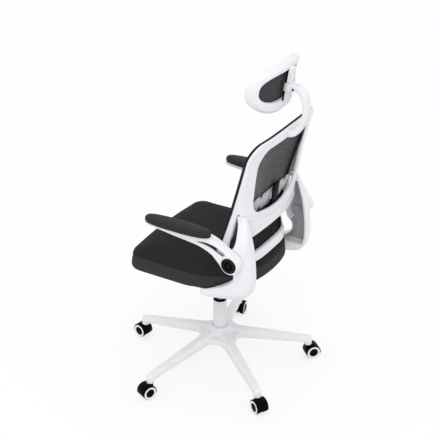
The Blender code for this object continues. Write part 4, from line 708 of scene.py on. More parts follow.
def back_half(z):
    """The back's half width: it draws in from its top to a waist at the brackets' seam."""
    return blend(WAIST_HALF_WIDTH, BACK_HALF_WIDTH, min(1.0, max(0.0, (z - SEAM_Z) / (BACK_TOP - SEAM_Z))))


def drawn_in(point):
    return Vector((point.x * back_half(point.y) / BACK_HALF_WIDTH, point.y))


def front_face(x, z):
    """Nearly flat in the middle, and bent forward at the sides."""
    rise = z - SEAT_BOTTOM
    side = curve_value(HOOP_SIDE, rise)
    middle = curve_value(HOOP_MIDDLE, rise)
    return blend(middle, side, min(1.2, (x / back_half(z)) ** 4))


def rear_face(x, z):
    """The back of the moulded frame: a slight lean and an even bow, never inside the hoop's own depth."""
    rise = z - SEAT_BOTTOM
    lean = REAR_Y + REAR_LEAN * (rise - REAR_RISE) + REAR_TOP_KICK * ramp(rise, 0.36, 0.55)
    bow = REAR_BOW * (1.0 - (x / back_half(z)) ** 2)
    return max(lean + bow, front_face(x, z) + REAR_LEAST_DEPTH)


def hoop_outline(grow=0.0):
    """The mesh hoop's outer edge in (x, z), from the middle of its foot, round and back."""
    half = BACK_HALF_WIDTH + grow
    low, high = BACK_BOTTOM - grow, BACK_TOP + grow
    lower, upper = BACK_BOTTOM_CORNER + grow, BACK_TOP_CORNER + grow
    right = [Vector(((half - lower) * k / 12, low)) for k in range(1, 12)]
    right += arc((half - lower, low + lower), lower, -90, 0, 27)
    right += [Vector((half, blend(low + lower, SEAM_Z + 0.0005, k / 12))) for k in range(1, 13)]
    right += [Vector((half, blend(SEAM_Z + 0.008, high - upper, k / 25))) for k in range(25)]
    right += arc((half - upper, high - upper), upper, 0, 90, 21)
    right += [Vector(((half - upper) * (1 - k / 12), high)) for k in range(1, 12)]
    right = [drawn_in(p) for p in right]
    loop = [Vector((0.0, low))] + right + [Vector((0.0, high))]
    return loop + mirrored(right)


def box_section(outer, inner, front_of, rear_of, soft):
    """A section between an outer and an inner edge point, with small chamfers."""
    across = (inner - outer).normalized()
    points = []
    for edge, turn in ((outer, 1.0), (inner, -1.0)):
        front, rear = front_of(edge), rear_of(edge)
        cut = edge + across * (turn * soft)
        corners = [(cut, front_of(cut)), (edge, front + soft), (edge, rear - soft), (cut, rear_of(cut))]
        if turn < 0:
            corners.reverse()
        points += [Vector((p.x, y, p.y)) for p, y in corners]
    return points


def hoop_inner_edge():
    """The hoop's inner edge, further in along its deeper foot."""
    outline = hoop_outline()
    edge = []
    thin_edge = inset_loop(outline, HOOP_WIDTH)
    thick_edge = inset_loop(outline, HOOP_BOTTOM_WIDTH)
    for point, thin, thick in zip(outline, thin_edge, thick_edge):
        foot = 1.0 - ramp(point.y, BACK_BOTTOM, BACK_BOTTOM + 0.6 * BACK_BOTTOM_CORNER)
        edge.append(thin.lerp(thick, foot))
    return edge


def hoop_solid():
    rings = []
    for point, inner in zip(hoop_outline(), hoop_inner_edge()):

        def front_of(p):
            return front_face(p.x, p.y)

        def rear_of(p, edge=point):
            deep = front_face(edge.x, edge.y) + straight_value(HOOP_DEPTH, edge.y - SEAT_BOTTOM)
            return max(deep, front_face(p.x, p.y) + HOOP_LEAST_DEPTH)

        rings.append(box_section(point, inner, front_of, rear_of, HOOP_SOFT))
    return loft(rings, closed=True)


def finer(pairs, steps):
    """More points between matched pairs: straight on the outer edge, rounded on the inner one."""
    outer = [a for a, b in pairs]
    inner = [b for a, b in pairs]
    result = []
    for k in range(len(pairs) - 1):
        for step in range(steps):
            share = step / steps
            result.append((outer[k].lerp(outer[k + 1], share), bent(inner, k, share)))
    return result + [pairs[-1]]


def bent(points, k, share):
    """A point on the smooth curve through points, after number k."""
    before = points[k - 1] if k > 0 else points[k] * 2 - points[k + 1]
    after = points[k + 2] if k + 2 < len(points) else points[k + 1] * 2 - points[k]
    knots = [before, points[k], points[k + 1], after]
    if share == 0:
        return smooth_path(knots, 4)[1]
    return smooth_path(knots, 61)[20 + round(20 * share)]


def frame_edges():
    """Matched points on the moulded frame's outer edge and on its big opening, in (x, z)."""
    half, top = BACK_HALF_WIDTH - FRAME_SIDE_INSET, BACK_TOP - FRAME_TOP_INSET
    ledge = SEAM_Z + GAP
    step_x = BRACKET_INNER_X - SLACK
    low = SEAT_BOTTOM + RAIL_LOW_RISE
    corner = BACK_TOP_CORNER
    open_half, open_corner = OPENING_HALF_WIDTH, OPENING_CORNER
    open_bend = open_half - open_corner
    open_top = SEAT_BOTTOM + OPENING_TOP_RISE
    open_low = SEAT_BOTTOM + OPENING_BOTTOM_RISE
    outer = [(0.0, low + RAIL_ARCH), (step_x * 0.35, low + RAIL_ARCH * 0.8),
             (step_x * 0.68, low + RAIL_ARCH * 0.3), (step_x, low), (step_x, blend(low, ledge, 0.5)),
             (step_x, ledge), (half, ledge)]
    inner = [(0.0, open_low), (open_half * 0.28, open_low + 0.001), (open_half * 0.55, open_low + 0.006)]
    inner += [tuple(p) for p in arc((open_bend, open_low + open_corner + 0.008), open_corner, -75, 0, 3)]
    sides = 7
    for k in range(1, sides + 1):
        outer.append((half, blend(ledge, top - corner, k / sides)))
        inner.append((open_half, blend(inner[6][1], open_top - open_corner, k / sides)))
    outer += [tuple(p) for p in arc((half - corner, top - corner), corner, 0, 90, 6)[1:]]
    inner += [tuple(p) for p in arc((open_bend, open_top - open_corner), open_corner, 0, 90, 6)[1:]]
    outer += [(half * 0.38, top), (half * 0.19, top), (0.0, top)]
    inner += [(open_half * 0.36, open_top + 0.003), (open_half * 0.18, open_top + 0.004),
              (0.0, open_top + 0.005)]
    outer = [Vector(p) if p[1] < ledge or p[0] == step_x else drawn_in(Vector(p)) for p in outer]
    pairs = finer([(a, drawn_in(Vector(b))) for a, b in zip(outer, inner)], 5)
    left = [(Vector((-a.x, a.y)), Vector((-b.x, b.y))) for a, b in pairs[1:-1]]
    return pairs + list(reversed(left))


def frame_front(p):
    """The front of the moulded frame, kept behind the hoop's face where the two run together."""
    return max(rear_face(p.x, p.y) - FRAME_THICKNESS, front_face(p.x, p.y) + FRAME_SETBACK)


def frame_solid():
    rings = []
    for outer, inner in frame_edges():
        rings.append(box_section(outer, inner, frame_front, lambda p: rear_face(p.x, p.y), FRAME_SOFT))
    return loft(rings, closed=True)


def head_bend(x):
    """How far the headrest comes forward to the sides: gently at first, and round at its ends."""
    return HEAD_CURVE * x * x + HEAD_WRAP * x ** 4


def head_place(x, up, depth):
    """A point on the headrest: across, up along its rib, and forward of its rear face."""
    return HEAD_CENTRE + Vector((x, 0.0, 0.0)) + HEAD_UP * up + HEAD_FRONT * (depth + head_bend(x))


def head_edges():
    """Matched points on the headrest's rim and on the window in its back."""
    rim = superellipse(HEAD_HALF_WIDTH, HEAD_HALF_HEIGHT, HEAD_ROUNDNESS, HEAD_STEPS)
    window = superellipse(HEAD_HOLE_HALF_WIDTH, HEAD_HOLE_HALF_HEIGHT, HEAD_ROUNDNESS + 0.2, HEAD_STEPS)
    return [p + Vector((0.0, HEAD_SHIFT)) for p in rim], [p + Vector((0.0, HEAD_HOLE_RISE)) for p in window]


def head_frame_solid():
    """A curved dish with a rounded rim and an oval window in its back."""
    outer, hole = head_edges()
    rings = []
    for rim, window in zip(outer, hole):
        inward = (window - rim).normalized()
        section = [(window, 0.004), (window - inward * 0.003, 0.0), (rim + inward * 0.010, 0.0),
                   (rim + inward * 0.002, 0.006), (rim, HEAD_DEPTH * 0.45),
                   (rim + inward * 0.003, HEAD_DEPTH), (rim + inward * HEAD_WALL, HEAD_DEPTH),
                   (rim + inward * HEAD_WALL, HEAD_PLATE), (window, HEAD_PLATE)]
        rings.append([head_place(p.x, p.y, depth) for p, depth in section])
    return loft(rings, closed=True)


def knuckle_depth():
    return -(RIB_DEPTH + GAP + BLOCK_WALL + KNUCKLE_RADIUS + SLACK + KNUCKLE_MARGIN)


def neck_pin_point():
    return head_place(0.0, 0.0, knuckle_depth())


def fork_slot(radius, root, half):
    """Room in the neck for the tongue at both ends of its swing."""
    centre = knuckle_depth()
    flare = math.radians(TONGUE_SWING)
    side = radius / math.cos(flare) + (root - centre) * math.tan(flare)
    loop = arc((centre, 0.0), radius, 90 + TONGUE_SWING, 270 - TONGUE_SWING, 24)
    loop += [Vector((root, -side)), Vector((root, side))]
    return moulding([loop], -half, half, lambda u, v, w: head_place(0.0, v, u) + Vector((w, 0.0, 0.0)))


def neck_solid():
    """A bar that leaves the top rail, bows out to the rear and comes back to the pin."""
    pin = neck_pin_point()
    rail = BACK_TOP - NECK_ROOT_DROP
    start = rear_face(0.0, rail)
    reach, climb = pin.y - start, pin.z - rail
    knots = [(start, rail), (start + 0.022, rail + 0.009), (start + 0.041, rail + 0.25 * climb),
             (start + 0.0535, rail + 0.47 * climb), (start + 0.0525, rail + 0.70 * climb),
             (start + 0.043, rail + 0.90 * climb), (start + reach + 0.014, pin.z + 0.002), (pin.y, pin.z)]
    path = smooth_path(knots, 84)
    rings = []
    for k, point in enumerate(path):
        ahead = (path[min(k + 1, len(path) - 1)] - path[max(k - 1, 0)]).normalized()
        across = Vector((-ahead.y, ahead.x))
        share = k / (len(path) - 1)
        half = NECK_HALF_WIDTH * blend(1.2, 1.0, ramp(share, 0.0, 0.2))
        deep = NECK_DEPTH / 2 * blend(1.4, 1.0, ramp(share, 0.0, 0.25))
        ring = []
        for corner in superellipse(1.0, 1.0, 6.0, 48):
            place = point + across * (corner.y * deep)
            ring.append(Vector((corner.x * half, place.x, place.y)))
        if k == 0:
            ring = [Vector((p.x, rear_face(p.x, p.z) + GAP, p.z)) for p in ring]
        rings.append(ring)
    return loft(rings)


# Making pieces


def finished(bm, name, angle=40.0):
    """A mesh with its faces outwards, smooth up to an angle in degrees."""
    bmesh.ops.recalc_face_normals(bm, faces=bm.faces[:])
    if all(edge.is_manifold for edge in bm.edges) and bm.calc_volume(signed=True) < 0.0:
        bmesh.ops.reverse_faces(bm, faces=bm.faces[:])
    mesh = bpy.data.meshes.new(name)
    bm.to_mesh(mesh)
    bm.free()
    mesh.shade_smooth()
    mesh.set_sharp_from_angle(angle=math.radians(angle))
    return mesh


def link(name, data):
    obj = bpy.data.objects.new(name, data)
    bpy.context.scene.collection.objects.link(obj)
    return obj


def piece(name, bm, angle=40.0):
    return link(name, finished(bm, name, angle))


def modify(obj, kind, **settings):
    """Add a modifier of a kind, with its settings."""
    modifier = obj.modifiers.new(kind.lower(), kind)
    for key, value in settings.items():
        setattr(modifier, key, value)


def bake(obj):
    """Keep what the modifiers make and drop the modifiers."""
    depsgraph = bpy.context.evaluated_depsgraph_get()
    mesh = bpy.data.meshes.new_from_object(obj.evaluated_get(depsgraph))
    obj.modifiers.clear()
    obj.data = mesh
    return obj


def combine(obj, tool_bm, operation="DIFFERENCE", own=False):
    """Cut a solid out of a piece or join it on. own allows for a piece that crosses itself."""
    tool = piece("tool", tool_bm)
    modify(obj, "BOOLEAN", operation=operation, solver="EXACT", use_self=own, object=tool)
    bake(obj)
    bpy.data.objects.remove(tool, do_unlink=True)


def bevelled(obj, width, limit=40.0, sharp=45.0):
    """Ease the edges that turn by more than a limit, in degrees."""
    modify(obj, "BEVEL", width=width, segments=2, limit_method="ANGLE", angle_limit=math.radians(limit))
    bake(obj)
    obj.data.shade_smooth()
    obj.data.set_sharp_from_angle(angle=math.radians(sharp))
    return obj


def moulded(name, solids, cuts=(), voxel=0.0013, passes=8, keep=0.3, grooves=(), own=False):
    """Solids that run into each other, cut, joined into one skin and rounded off as a moulding is."""
    obj = piece(name, merged(solids))
    for cut in cuts:
        combine(obj, cut, own=own or len(solids) > 1)
    modify(obj, "REMESH", mode="VOXEL", voxel_size=voxel)
    modify(obj, "SMOOTH", factor=0.5, iterations=passes)
    bake(obj)
    for line in grooves:
        engrave(obj.data, line)
    modify(obj, "DECIMATE", ratio=keep)
    bake(obj)
    obj.data.shade_smooth()
    return obj


def engrave(mesh, line):
    """Press a round groove along a line of points forward into a rear face."""
    count = len(mesh.vertices)
    co, normal = np.empty(count * 3), np.empty(count * 3)
    mesh.vertices.foreach_get("co", co)
    mesh.vertices.foreach_get("normal", normal)
    co, normal = co.reshape(-1, 3), normal.reshape(-1, 3)
    near = np.full(count, GROOVE_WIDTH)
    for a, b in zip(line, line[1:]):
        run = np.array(b - a)
        share = np.clip((co - np.array(a)) @ run / max(1e-12, run @ run), 0.0, 1.0)
        near = np.minimum(near, np.linalg.norm(co - np.array(a) - share[:, None] * run, axis=1))
    forward = np.array((0.0, -1.0, 0.0))
    depth = GROOVE_DEPTH * (0.5 + 0.5 * np.cos(np.pi * near / GROOVE_WIDTH))
    push = np.where(normal @ forward < -0.2, depth, 0.0)
    co += push[:, None] * forward
    mesh.vertices.foreach_set("co", co.ravel())
    mesh.update()


def eased(bm, name, width):
    """A solid with its edges eased."""
    return bevelled(piece(name, bm), width)


def softened(node, name, width):
    """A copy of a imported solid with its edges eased."""
    bm = bmesh.new()
    bm.from_mesh(frame["nodes"][node].data)
    bmesh.ops.remove_doubles(bm, verts=bm.verts[:], dist=1e-6)
    bmesh.ops.dissolve_limit(bm, angle_limit=math.radians(1.0), verts=bm.verts[:], edges=bm.edges[:])
    return bevelled(piece(name, bm), width, limit=35.0)


def repaint(mesh, material, chosen):
    """Give a second material to the faces that are chosen."""
    mesh.materials.append(material)
    for face in mesh.polygons:
        if chosen(face):
            face.material_index = 1


def box_uv(mesh):
    """Map each face along its main direction, in metres, so that a weave keeps its size."""
    layer = mesh.uv_layers.new(name="weave") if not mesh.uv_layers else mesh.uv_layers[0]
    for face in mesh.polygons:
        normal = [abs(c) for c in face.normal]
        axis = normal.index(max(normal))
        one, two = ((1, 2), (0, 2), (0, 1))[axis]
        for index in face.loop_indices:
            co = mesh.vertices[mesh.loops[index].vertex_index].co
            layer.data[index].uv = (co[one], co[two])


def dress(obj, material, body, slot, *nodes):
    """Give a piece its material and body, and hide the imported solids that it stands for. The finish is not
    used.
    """
    if material is not None:
        obj.data.materials.clear()
        obj.data.materials.append(material)
    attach(obj, body)
    if nodes:
        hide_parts(*nodes)
    return obj


# Materials


class Maker:
    """The nodes of a material or of the world, and short ways to add to them."""

    def __init__(self, block):
        block.use_nodes = True
        self.block = block
        self.nodes = block.node_tree.nodes
        self.shader = self.nodes.get("Principled BSDF")

    def put(self, socket, value):
        """Set a socket to a number or a colour, or join another socket to it."""
        if isinstance(value, (int, float)):
            socket.default_value = value
        elif isinstance(value, tuple):
            socket.default_value = (*value, 1.0)
        else:
            self.block.node_tree.links.new(value, socket)

    def node(self, kind, **inputs):
        """Add a node and fill some of its inputs."""
        node = self.nodes.new("ShaderNode" + kind)
        for name, value in inputs.items():
            self.put(node.inputs[name], value)
        return node

    def give(self, **inputs):
        """Fill the main shader's inputs. Their names have a low line for each space."""
        for name, value in inputs.items():
            self.put(self.shader.inputs[name.replace("_", " ")], value)

    def math(self, operation, a, b=0.0):
        node = self.node("Math")
        node.operation = operation
        self.put(node.inputs[0], a)
        self.put(node.inputs[1], b)
        return node.outputs[0]

    def noise(self, place, scale, detail=2.0, rough=0.5):
        return self.node("TexNoise", Vector=place, Scale=scale, Detail=detail, Roughness=rough).outputs["Fac"]

    def spread(self, value, low, high, to_low=0.0, to_high=1.0):
        node = self.node("MapRange")
        for socket, number in zip(node.inputs, (value, low, high, to_low, to_high)):
            self.put(socket, number)
        return node.outputs[0]

    def mix(self, share, one, two):
        node = self.node("Mix")
        node.data_type = "RGBA"
        for index, value in ((0, share), (6, one), (7, two)):
            self.put(node.inputs[index], value)
        return node.outputs[2]

    def bump(self, height, strength, distance):
        node = self.node("Bump", Strength=strength, Distance=distance, Height=height)
        self.put(self.shader.inputs["Normal"], node.outputs["Normal"])

    def place(self, kind="Object"):
        return self.node("TexCoord").outputs[kind]

    def part(self, place, axis):
        return self.node("SeparateXYZ", Vector=place).outputs[axis]

    def stretched(self, scale):
        """Places on the object, stretched along the axes."""
        node = self.node("Mapping", Vector=self.place())
        node.inputs["Scale"].default_value = scale
        return node.outputs["Vector"]

    def seen(self):
        """1 for what is seen, also in a reflection or through a piece, and 0 for light that only arrives."""
        path = self.node("LightPath")
        share = self.math("MAXIMUM", path.outputs["Is Camera Ray"], path.outputs["Is Glossy Ray"])
        return self.math("MAXIMUM", share, path.outputs["Is Transmission Ray"])

    def show(self, share, one, two, output):
        """Mix two shaders and show the result."""
        node = self.node("MixShader")
        for socket, value in zip(node.inputs, (share, one.outputs[0], two.outputs[0])):
            self.put(socket, value)
        self.put(self.nodes[output].inputs["Surface"], node.outputs[0])


def new_look(name):
    return Maker(bpy.data.materials.new(name))


def plastic(name, dark, light, gloss, grain, depth, level):
    """Moulded plastic: faint mottling, slightly uneven gloss and a fine moulded grain."""
    m = new_look(name)
    place = m.place()
    cloud = m.spread(m.noise(place, 9.0, 3.0), 0.35, 0.65)
    sheen = m.spread(m.noise(place, 60.0, 4.0), 0.3, 0.7, gloss - 0.05, gloss + 0.06)
    m.give(Base_Color=m.mix(cloud, dark, light), Roughness=sheen, Specular_IOR_Level=level)
    m.bump(m.noise(place, grain, 3.0, 0.6), depth, 0.0004)
    return m.block


def metal(name, dark, light, gloss, along):
    """Drawn or pressed steel with fine streaks along one axis."""
    m = new_look(name)
    streak = m.noise(m.stretched(along), 120.0, 4.0, 0.6)
    sheen = m.spread(streak, 0.3, 0.7, gloss - 0.06, gloss + 0.08)
    m.give(Base_Color=m.mix(streak, dark, light), Roughness=sheen, Metallic=1.0)
    m.bump(streak, 0.08, 0.0003)
    return m.block


def woven(name, hollow, thread, pitch, depth, patch=0.25, fade=None):
    """A knitted or woven cloth: crossing threads with darker hollows between them as painted shade, and a
    soft uneven tone.

    fade is a height where the cloth is dark, a height where it isn't, and the dark colour.
    """
    m = new_look(name)
    uv = m.place("UV")
    turn = math.tau / pitch
    across, along = (m.math("SINE", m.math("MULTIPLY", m.part(uv, axis), turn)) for axis in "XY")
    weave = m.spread(m.math("MULTIPLY", across, along), -1.0, 1.0)
    fuzz = m.noise(m.place(), 900.0, 3.0)
    height = m.math("ADD", m.math("MULTIPLY", weave, 0.8), m.math("MULTIPLY", fuzz, 0.4))
    tone = m.noise(m.place(), 7.0, 2.0)
    share = m.math("ADD", m.spread(height, 0.2, 1.0, 0.0, 1.0 - patch), m.math("MULTIPLY", tone, patch))
    # Painted shade: the hollows between the threads take the dark colour.
    colour = m.mix(share, hollow, thread)
    if fade:
        low, high, dark = fade
        colour = m.mix(m.spread(m.part(m.place(), "Z"), low, high), dark, colour)
    m.give(Base_Color=colour, Roughness=0.88, Sheen_Weight=0.03, Sheen_Roughness=0.45,
           Specular_IOR_Level=0.08)
    m.bump(height, depth, 0.0008)
    return m.block


def skin(name, dark, light):
    """The tight skin of moulded foam, with a fine pebbled grain."""
    m = new_look(name)
    place = m.place()
    cell = m.node("TexVoronoi", Vector=place, Scale=620.0)
    sheen = m.spread(m.noise(place, 300.0, 3.0), 0.3, 0.7, 0.50, 0.62)
    m.give(Base_Color=m.mix(m.noise(place, 12.0, 3.0), dark, light), Roughness=sheen, Specular_IOR_Level=0.16)
    m.bump(cell.outputs["Distance"], 0.25, 0.0004)
    return m.block


def ply(name, dark, light):
    """Plywood face veneer with long grain."""
    m = new_look(name)
    grain = m.noise(m.stretched((14.0, 1.2, 14.0)), 6.0, 6.0, 0.65)
    m.give(Base_Color=m.mix(m.spread(grain, 0.3, 0.7), dark, light), Roughness=0.7)
    m.bump(grain, 0.15, 0.0005)
    return m.block


WHITE = plastic("white_nylon_look", (0.865, 0.865, 0.885), (0.895, 0.895, 0.910), 0.36, 1400.0, 0.05, 0.3)
COAT = plastic("white_paint_look", (0.83, 0.84, 0.86), (0.86, 0.87, 0.885), 0.30, 2200.0, 0.04, 0.3)
BLACK = plastic("black_nylon_look", (0.0012, 0.0012, 0.0014), (0.0028, 0.0028, 0.0031), 0.34, 1500.0,
                0.08, 0.035)
MATT = plastic("black_cap_face_look", (0.0070, 0.0070, 0.0075), (0.0100, 0.0100, 0.0105), 0.45, 1500.0,
               0.08, 0.08)
GREY = plastic("grey_plastic_look", (0.46, 0.46, 0.475), (0.50, 0.50, 0.515), 0.45, 1500.0, 0.08, 0.3)
STEEL = metal("steel_look", (0.45, 0.46, 0.48), (0.60, 0.61, 0.63), 0.34, (1.0, 1.0, 14.0))
CLOTH = woven("seat_fabric_look", (0.012, 0.012, 0.013), (0.034, 0.034, 0.036), 0.0022, 0.5)
# Painted light: a lighter cloth for the cushion's sides and its welt, standing in for the light falling on
# them.
LIT_SIDE_CLOTH = woven("seat_side_painted_light_look", (0.023, 0.023, 0.024), (0.062, 0.062, 0.064), 0.0022, 0.5)
# The pad's back, where it shows in the headrest's window, takes a lighter cloth than its front.
PAD_BACK_CLOTH = woven("headrest_pad_back_look", (0.040, 0.040, 0.042), (0.085, 0.085, 0.088), 0.0022, 0.5)
# Painted shade: a darker grey for the brackets' hollows, standing in for the shade inside them.
POCKET_SHADE_GREY = plastic("bracket_pocket_shade_look", (0.36, 0.36, 0.37), (0.41, 0.41, 0.42), 0.5, 1400.0, 0.06, 0.2)
# Painted light: the back mesh's pale grey stands in for the light seen through the open knit; it fades to
# dark grey low down.
NET_PAINTED_LIGHT = woven("back_mesh_painted_light_look", (0.36, 0.36, 0.365), (0.48, 0.48, 0.485), 0.0026, 0.4, 0.15,
            (SEAT_BOTTOM + 0.175, SEAT_BOTTOM + 0.255, (0.05, 0.05, 0.052)))
WARP = woven("back_mesh_warp_look", (0.003, 0.003, 0.003), (0.008, 0.008, 0.008), 0.0013, 0.4, 0.2)
FOAM = skin("arm_pad_look", (0.022, 0.022, 0.023), (0.029, 0.029, 0.031))
WOOD = ply("plywood_look", (0.30, 0.19, 0.10), (0.52, 0.37, 0.22))


# Base, column and casters


def build_base():
    foot = HUB_BOTTOM - HUB_TUBE_DROP
    tube = column_radius_at(HUB_BOTTOM) + HUB_TUBE_WALL
    skirt = smooth_path([(HUB_TOP_RADIUS - 0.001, HUB_TOP), (HUB_TOP_RADIUS + 0.003, HUB_TOP - 0.004),
                         (blend(HUB_TOP_RADIUS, HUB_SKIRT_RADIUS, 0.5), LEG_ROOT_TOP),
                         (HUB_SKIRT_RADIUS, LEG_ROOT_TOP - 0.4 * LEG_ROOT_DEPTH),
                         (HUB_SKIRT_RADIUS, HUB_BOTTOM)], 18)
    profile = [(0.0, HUB_TOP)] + [tuple(p) for p in skirt]
    profile += [(tube, HUB_BOTTOM), (tube, foot), (0.0, foot)]
    legs = range(LEG_COUNT)
    solids = [turned(profile, 96)] + [leg_solid(index) for index in legs]
    solids += [web_solid(index) for index in legs]
    solids += [rod_z(SOCKET_RADIUS, SOCKET_BOTTOM, LEG_TIP_TOP - 0.5 * LEG_TIP_DEPTH, *stem_place(index), 40)
               for index in legs]
    pockets = [pocket_solid(index, pocket) for index in legs for pocket in range(LEG_POCKETS)]
    low, high = foot - BORE_MARGIN, HUB_TOP + BORE_MARGIN
    bores = [turned([(0.0, low), (column_radius_at(low) + GAP, low), (column_radius_at(high) + GAP, high),
                     (0.0, high)], 72)]
    bores += [rod_z(STEM_RADIUS + STEM_CLEARANCE, SOCKET_BOTTOM - BORE_MARGIN,
                    SOCKET_BOTTOM + STEM_INSERT + 0.001, *stem_place(index), 24) for index in legs]
    base = moulded("star_base_form", solids, [merged(pockets), merged(bores)], voxel=0.0016, passes=13)
    dress(base, WHITE, "base", "white_nylon", "star_base")


def build_column():
    foot = COLUMN_BOTTOM + COLUMN_FLOOR
    rim = COLUMN_RIM
    tube = [(COLUMN_RADIUS - rim, COLUMN_TOP), (COLUMN_RADIUS - 0.3 * rim, COLUMN_TOP - 0.3 * rim),
            (COLUMN_RADIUS, COLUMN_TOP - rim), (COLUMN_RADIUS, HUB_TOP),
            (column_radius_at(COLUMN_BOTTOM), COLUMN_BOTTOM), (ROD_RADIUS + GAP, COLUMN_BOTTOM),
            (ROD_RADIUS + GAP, foot), (COLUMN_INNER, foot), (COLUMN_INNER, COLUMN_TOP)]
    column = piece("column_tube_form", turned(tube, 96, loop=True))
    dress(column, COAT, "base", "painted_steel", "column_tube")
    sleeve = COLUMN_INNER - GAP
    top = COLUMN_TOP + BUSH_FLANGE
    edge = COLUMN_RADIUS - rim
    profile = [(CYLINDER_RADIUS + GAP, top), (sleeve - 0.001, top), (edge - 0.0012, top - 0.0006),
               (edge, top - 0.0018), (edge, COLUMN_TOP + GAP), (sleeve, COLUMN_TOP + GAP),
               (sleeve, COLUMN_TOP - BUSH_LENGTH), (CYLINDER_RADIUS + GAP, COLUMN_TOP - BUSH_LENGTH)]
    bush = piece("column_bush_form", turned(profile, 96, loop=True))
    dress(bush, BLACK, "base", "black_nylon", "column_bush")


def wheel_mesh(side):
    """Tyre, raised white ring and a black centre disc with a shallow step, turned from one profile."""
    bore = AXLE_RADIUS + GAP
    ring_outer, ring_inner = WHEEL_RADIUS * 0.94, WHEEL_RADIUS * 0.64
    sunk = WHEEL_OUTER - 0.0010
    step = sunk - 0.0004
    end = WHEEL_OUTER - 0.0045
    points = [(0.0, sunk), (ring_inner * 0.30, sunk), (ring_inner * 0.34, step), (ring_inner * 0.9, step),
              (ring_inner, sunk), (ring_inner + 0.0006, WHEEL_OUTER - 0.0002),
              (ring_inner + 0.0012, WHEEL_OUTER), (ring_outer - 0.0006, WHEEL_OUTER),
              (ring_outer, WHEEL_OUTER - 0.0004),
              (blend(ring_outer, WHEEL_RADIUS, 0.6), WHEEL_OUTER - 0.0012),
              (WHEEL_RADIUS, WHEEL_OUTER - WHEEL_SHOULDER), (WHEEL_RADIUS, WHEEL_INNER + 0.0015),
              (WHEEL_RADIUS - 0.0012, WHEEL_INNER), (bore, WHEEL_INNER), (bore, end), (0.0, end)]
    mesh = finished(turned([(r, side * w) for r, w in points], 72, place=wheel_place), "wheel", 30.0)
    mesh.materials.append(BLACK)

    def on_ring(face):
        reach = math.hypot(face.center.y, face.center.z)
        return abs(face.center.x) > WHEEL_OUTER - 0.0009 and ring_inner < reach < ring_outer + 0.0004

    repaint(mesh, WHITE, on_ring)
    return mesh


def hood_mesh():
    """A barrel over both wheels, with a web between them and a collar for the stem."""
    reach = math.degrees(math.asin((HOOD_CUT_HEIGHT - AXLE_HEIGHT) / HOOD_RADIUS))
    outline = arc((CASTER_TRAIL, AXLE_HEIGHT), HOOD_RADIUS, reach, 180.0 - reach, 56)
    hood = piece("hood", moulding([outline], -HOOD_HALF_WIDTH, HOOD_HALF_WIDTH, along_x(1)))
    collar_top = SOCKET_BOTTOM - STEM_FLANGE - 2 * GAP
    combine(hood, rod_z(STEM_FLANGE_RADIUS, AXLE_HEIGHT, collar_top, 0.0, 0.0, 40), "UNION")
    cheeks = [rod_x(CHEEK_RADIUS - 0.0002, side * HOOD_WEB / 2, side * (WHEEL_OUTER + 0.01), CASTER_TRAIL,
                    AXLE_HEIGHT, 72) for side in (-1, 1)]
    combine(hood, merged(cheeks))
    mesh = bevelled(hood, 0.0005, sharp=40.0).data
    bpy.data.objects.remove(hood, do_unlink=True)
    mesh.materials.clear()
    mesh.materials.append(BLACK)
    return mesh


def build_casters():
    hood = hood_mesh()
    wheels = {"a": wheel_mesh(1), "b": wheel_mesh(-1)}
    for index in range(LEG_COUNT):
        name = "caster_%d" % (index + 1)
        turn = leg_turn(index) - math.pi / 2 + math.radians(CASTER_HEADINGS[index])
        swivel = Matrix.Translation((*stem_place(index), 0.0)) @ Matrix.Rotation(turn, 4, "Z")
        cover = link(name + "_hood_form", hood)
        cover.matrix_world = swivel
        dress(cover, None, name, "black_nylon", name + "_hood")
        for letter, mesh in wheels.items():
            node = "%s_wheel_%s" % (name, letter)
            wheel = link(node + "_form", mesh)
            wheel.matrix_world = swivel @ Matrix.Translation((0.0, CASTER_TRAIL, AXLE_HEIGHT))
            dress(wheel, None, node, "black_nylon", node)


# Brackets and arms


def build_sides():
    for side, name in ((1, "left"), (-1, "right")):
        build_bracket(side, name)
        build_arm(side, name)


def build_bracket(side, name):
    room = moulding([seat_outline(SLACK)], SEAT_BOTTOM - GAP, SEAT_BOTTOM + 0.12, flat)
    floor = BRACKET_OUTER_X - BRACKET_WEB
    pocket = moulding([bracket_pocket()], BRACKET_INNER_X - 0.01, floor, along_x(side))
    cuts = [room, moved(pocket, bracket_lean)]
    solid = moved(bracket_solid(side), bracket_lean)
    bracket = moulded("bracket_%s_form" % name, [solid], cuts, passes=5)
    dress(bracket, WHITE, "seat", "white_nylon", "bracket_" + name)
    # Painted shade: the hollow on the bracket's inner side is coloured a darker grey.
    paint_pocket_shade(bracket.data, side, floor)


def build_arm(side, name):
    body = "arm_" + name
    bore = [Vector((PIVOT_Y, PIVOT_Z)) + p for p in circle(PIVOT_RADIUS + GAP, 32)]
    solid = moulding([arm_outline(), bore], ARM_INNER_X + SLACK, ARM_OUTER_X, along_x(side), ARM_INNER_SOFT,
                     ARM_OUTER_SOFT)
    slot = moved(slot_flare(side), arm_spread)
    arm = moulded("arm_%s_form" % name, [moved(solid, arm_spread)], [slot], passes=6, own=True)
    dress(arm, WHITE, body, "white_nylon", "arm_" + name)
    stop = eased(moved(stop_solid(side), arm_spread), "arm_stop_" + name, 0.0008)
    dress(stop, GREY, body, "grey_plastic")
    pad = piece("arm_pad_%s_form" % name, pad_solid(side), 60.0)
    dress(pad, FOAM, body, "dark_fabric", "arm_pad_" + name)
    cap = piece("arm_cap_%s_form" % name, cap_solid(side), 30.0)
    dress(cap, BLACK, body, "black_nylon", "arm_cap_" + name)

    def matt(face):
        reach = math.hypot(face.center.y - PIVOT_Y, face.center.z - PIVOT_Z) / CAP_RADIUS
        return CAP_DISH < reach < 0.95 or reach < 0.26

    repaint(cap.data, MATT, matt)


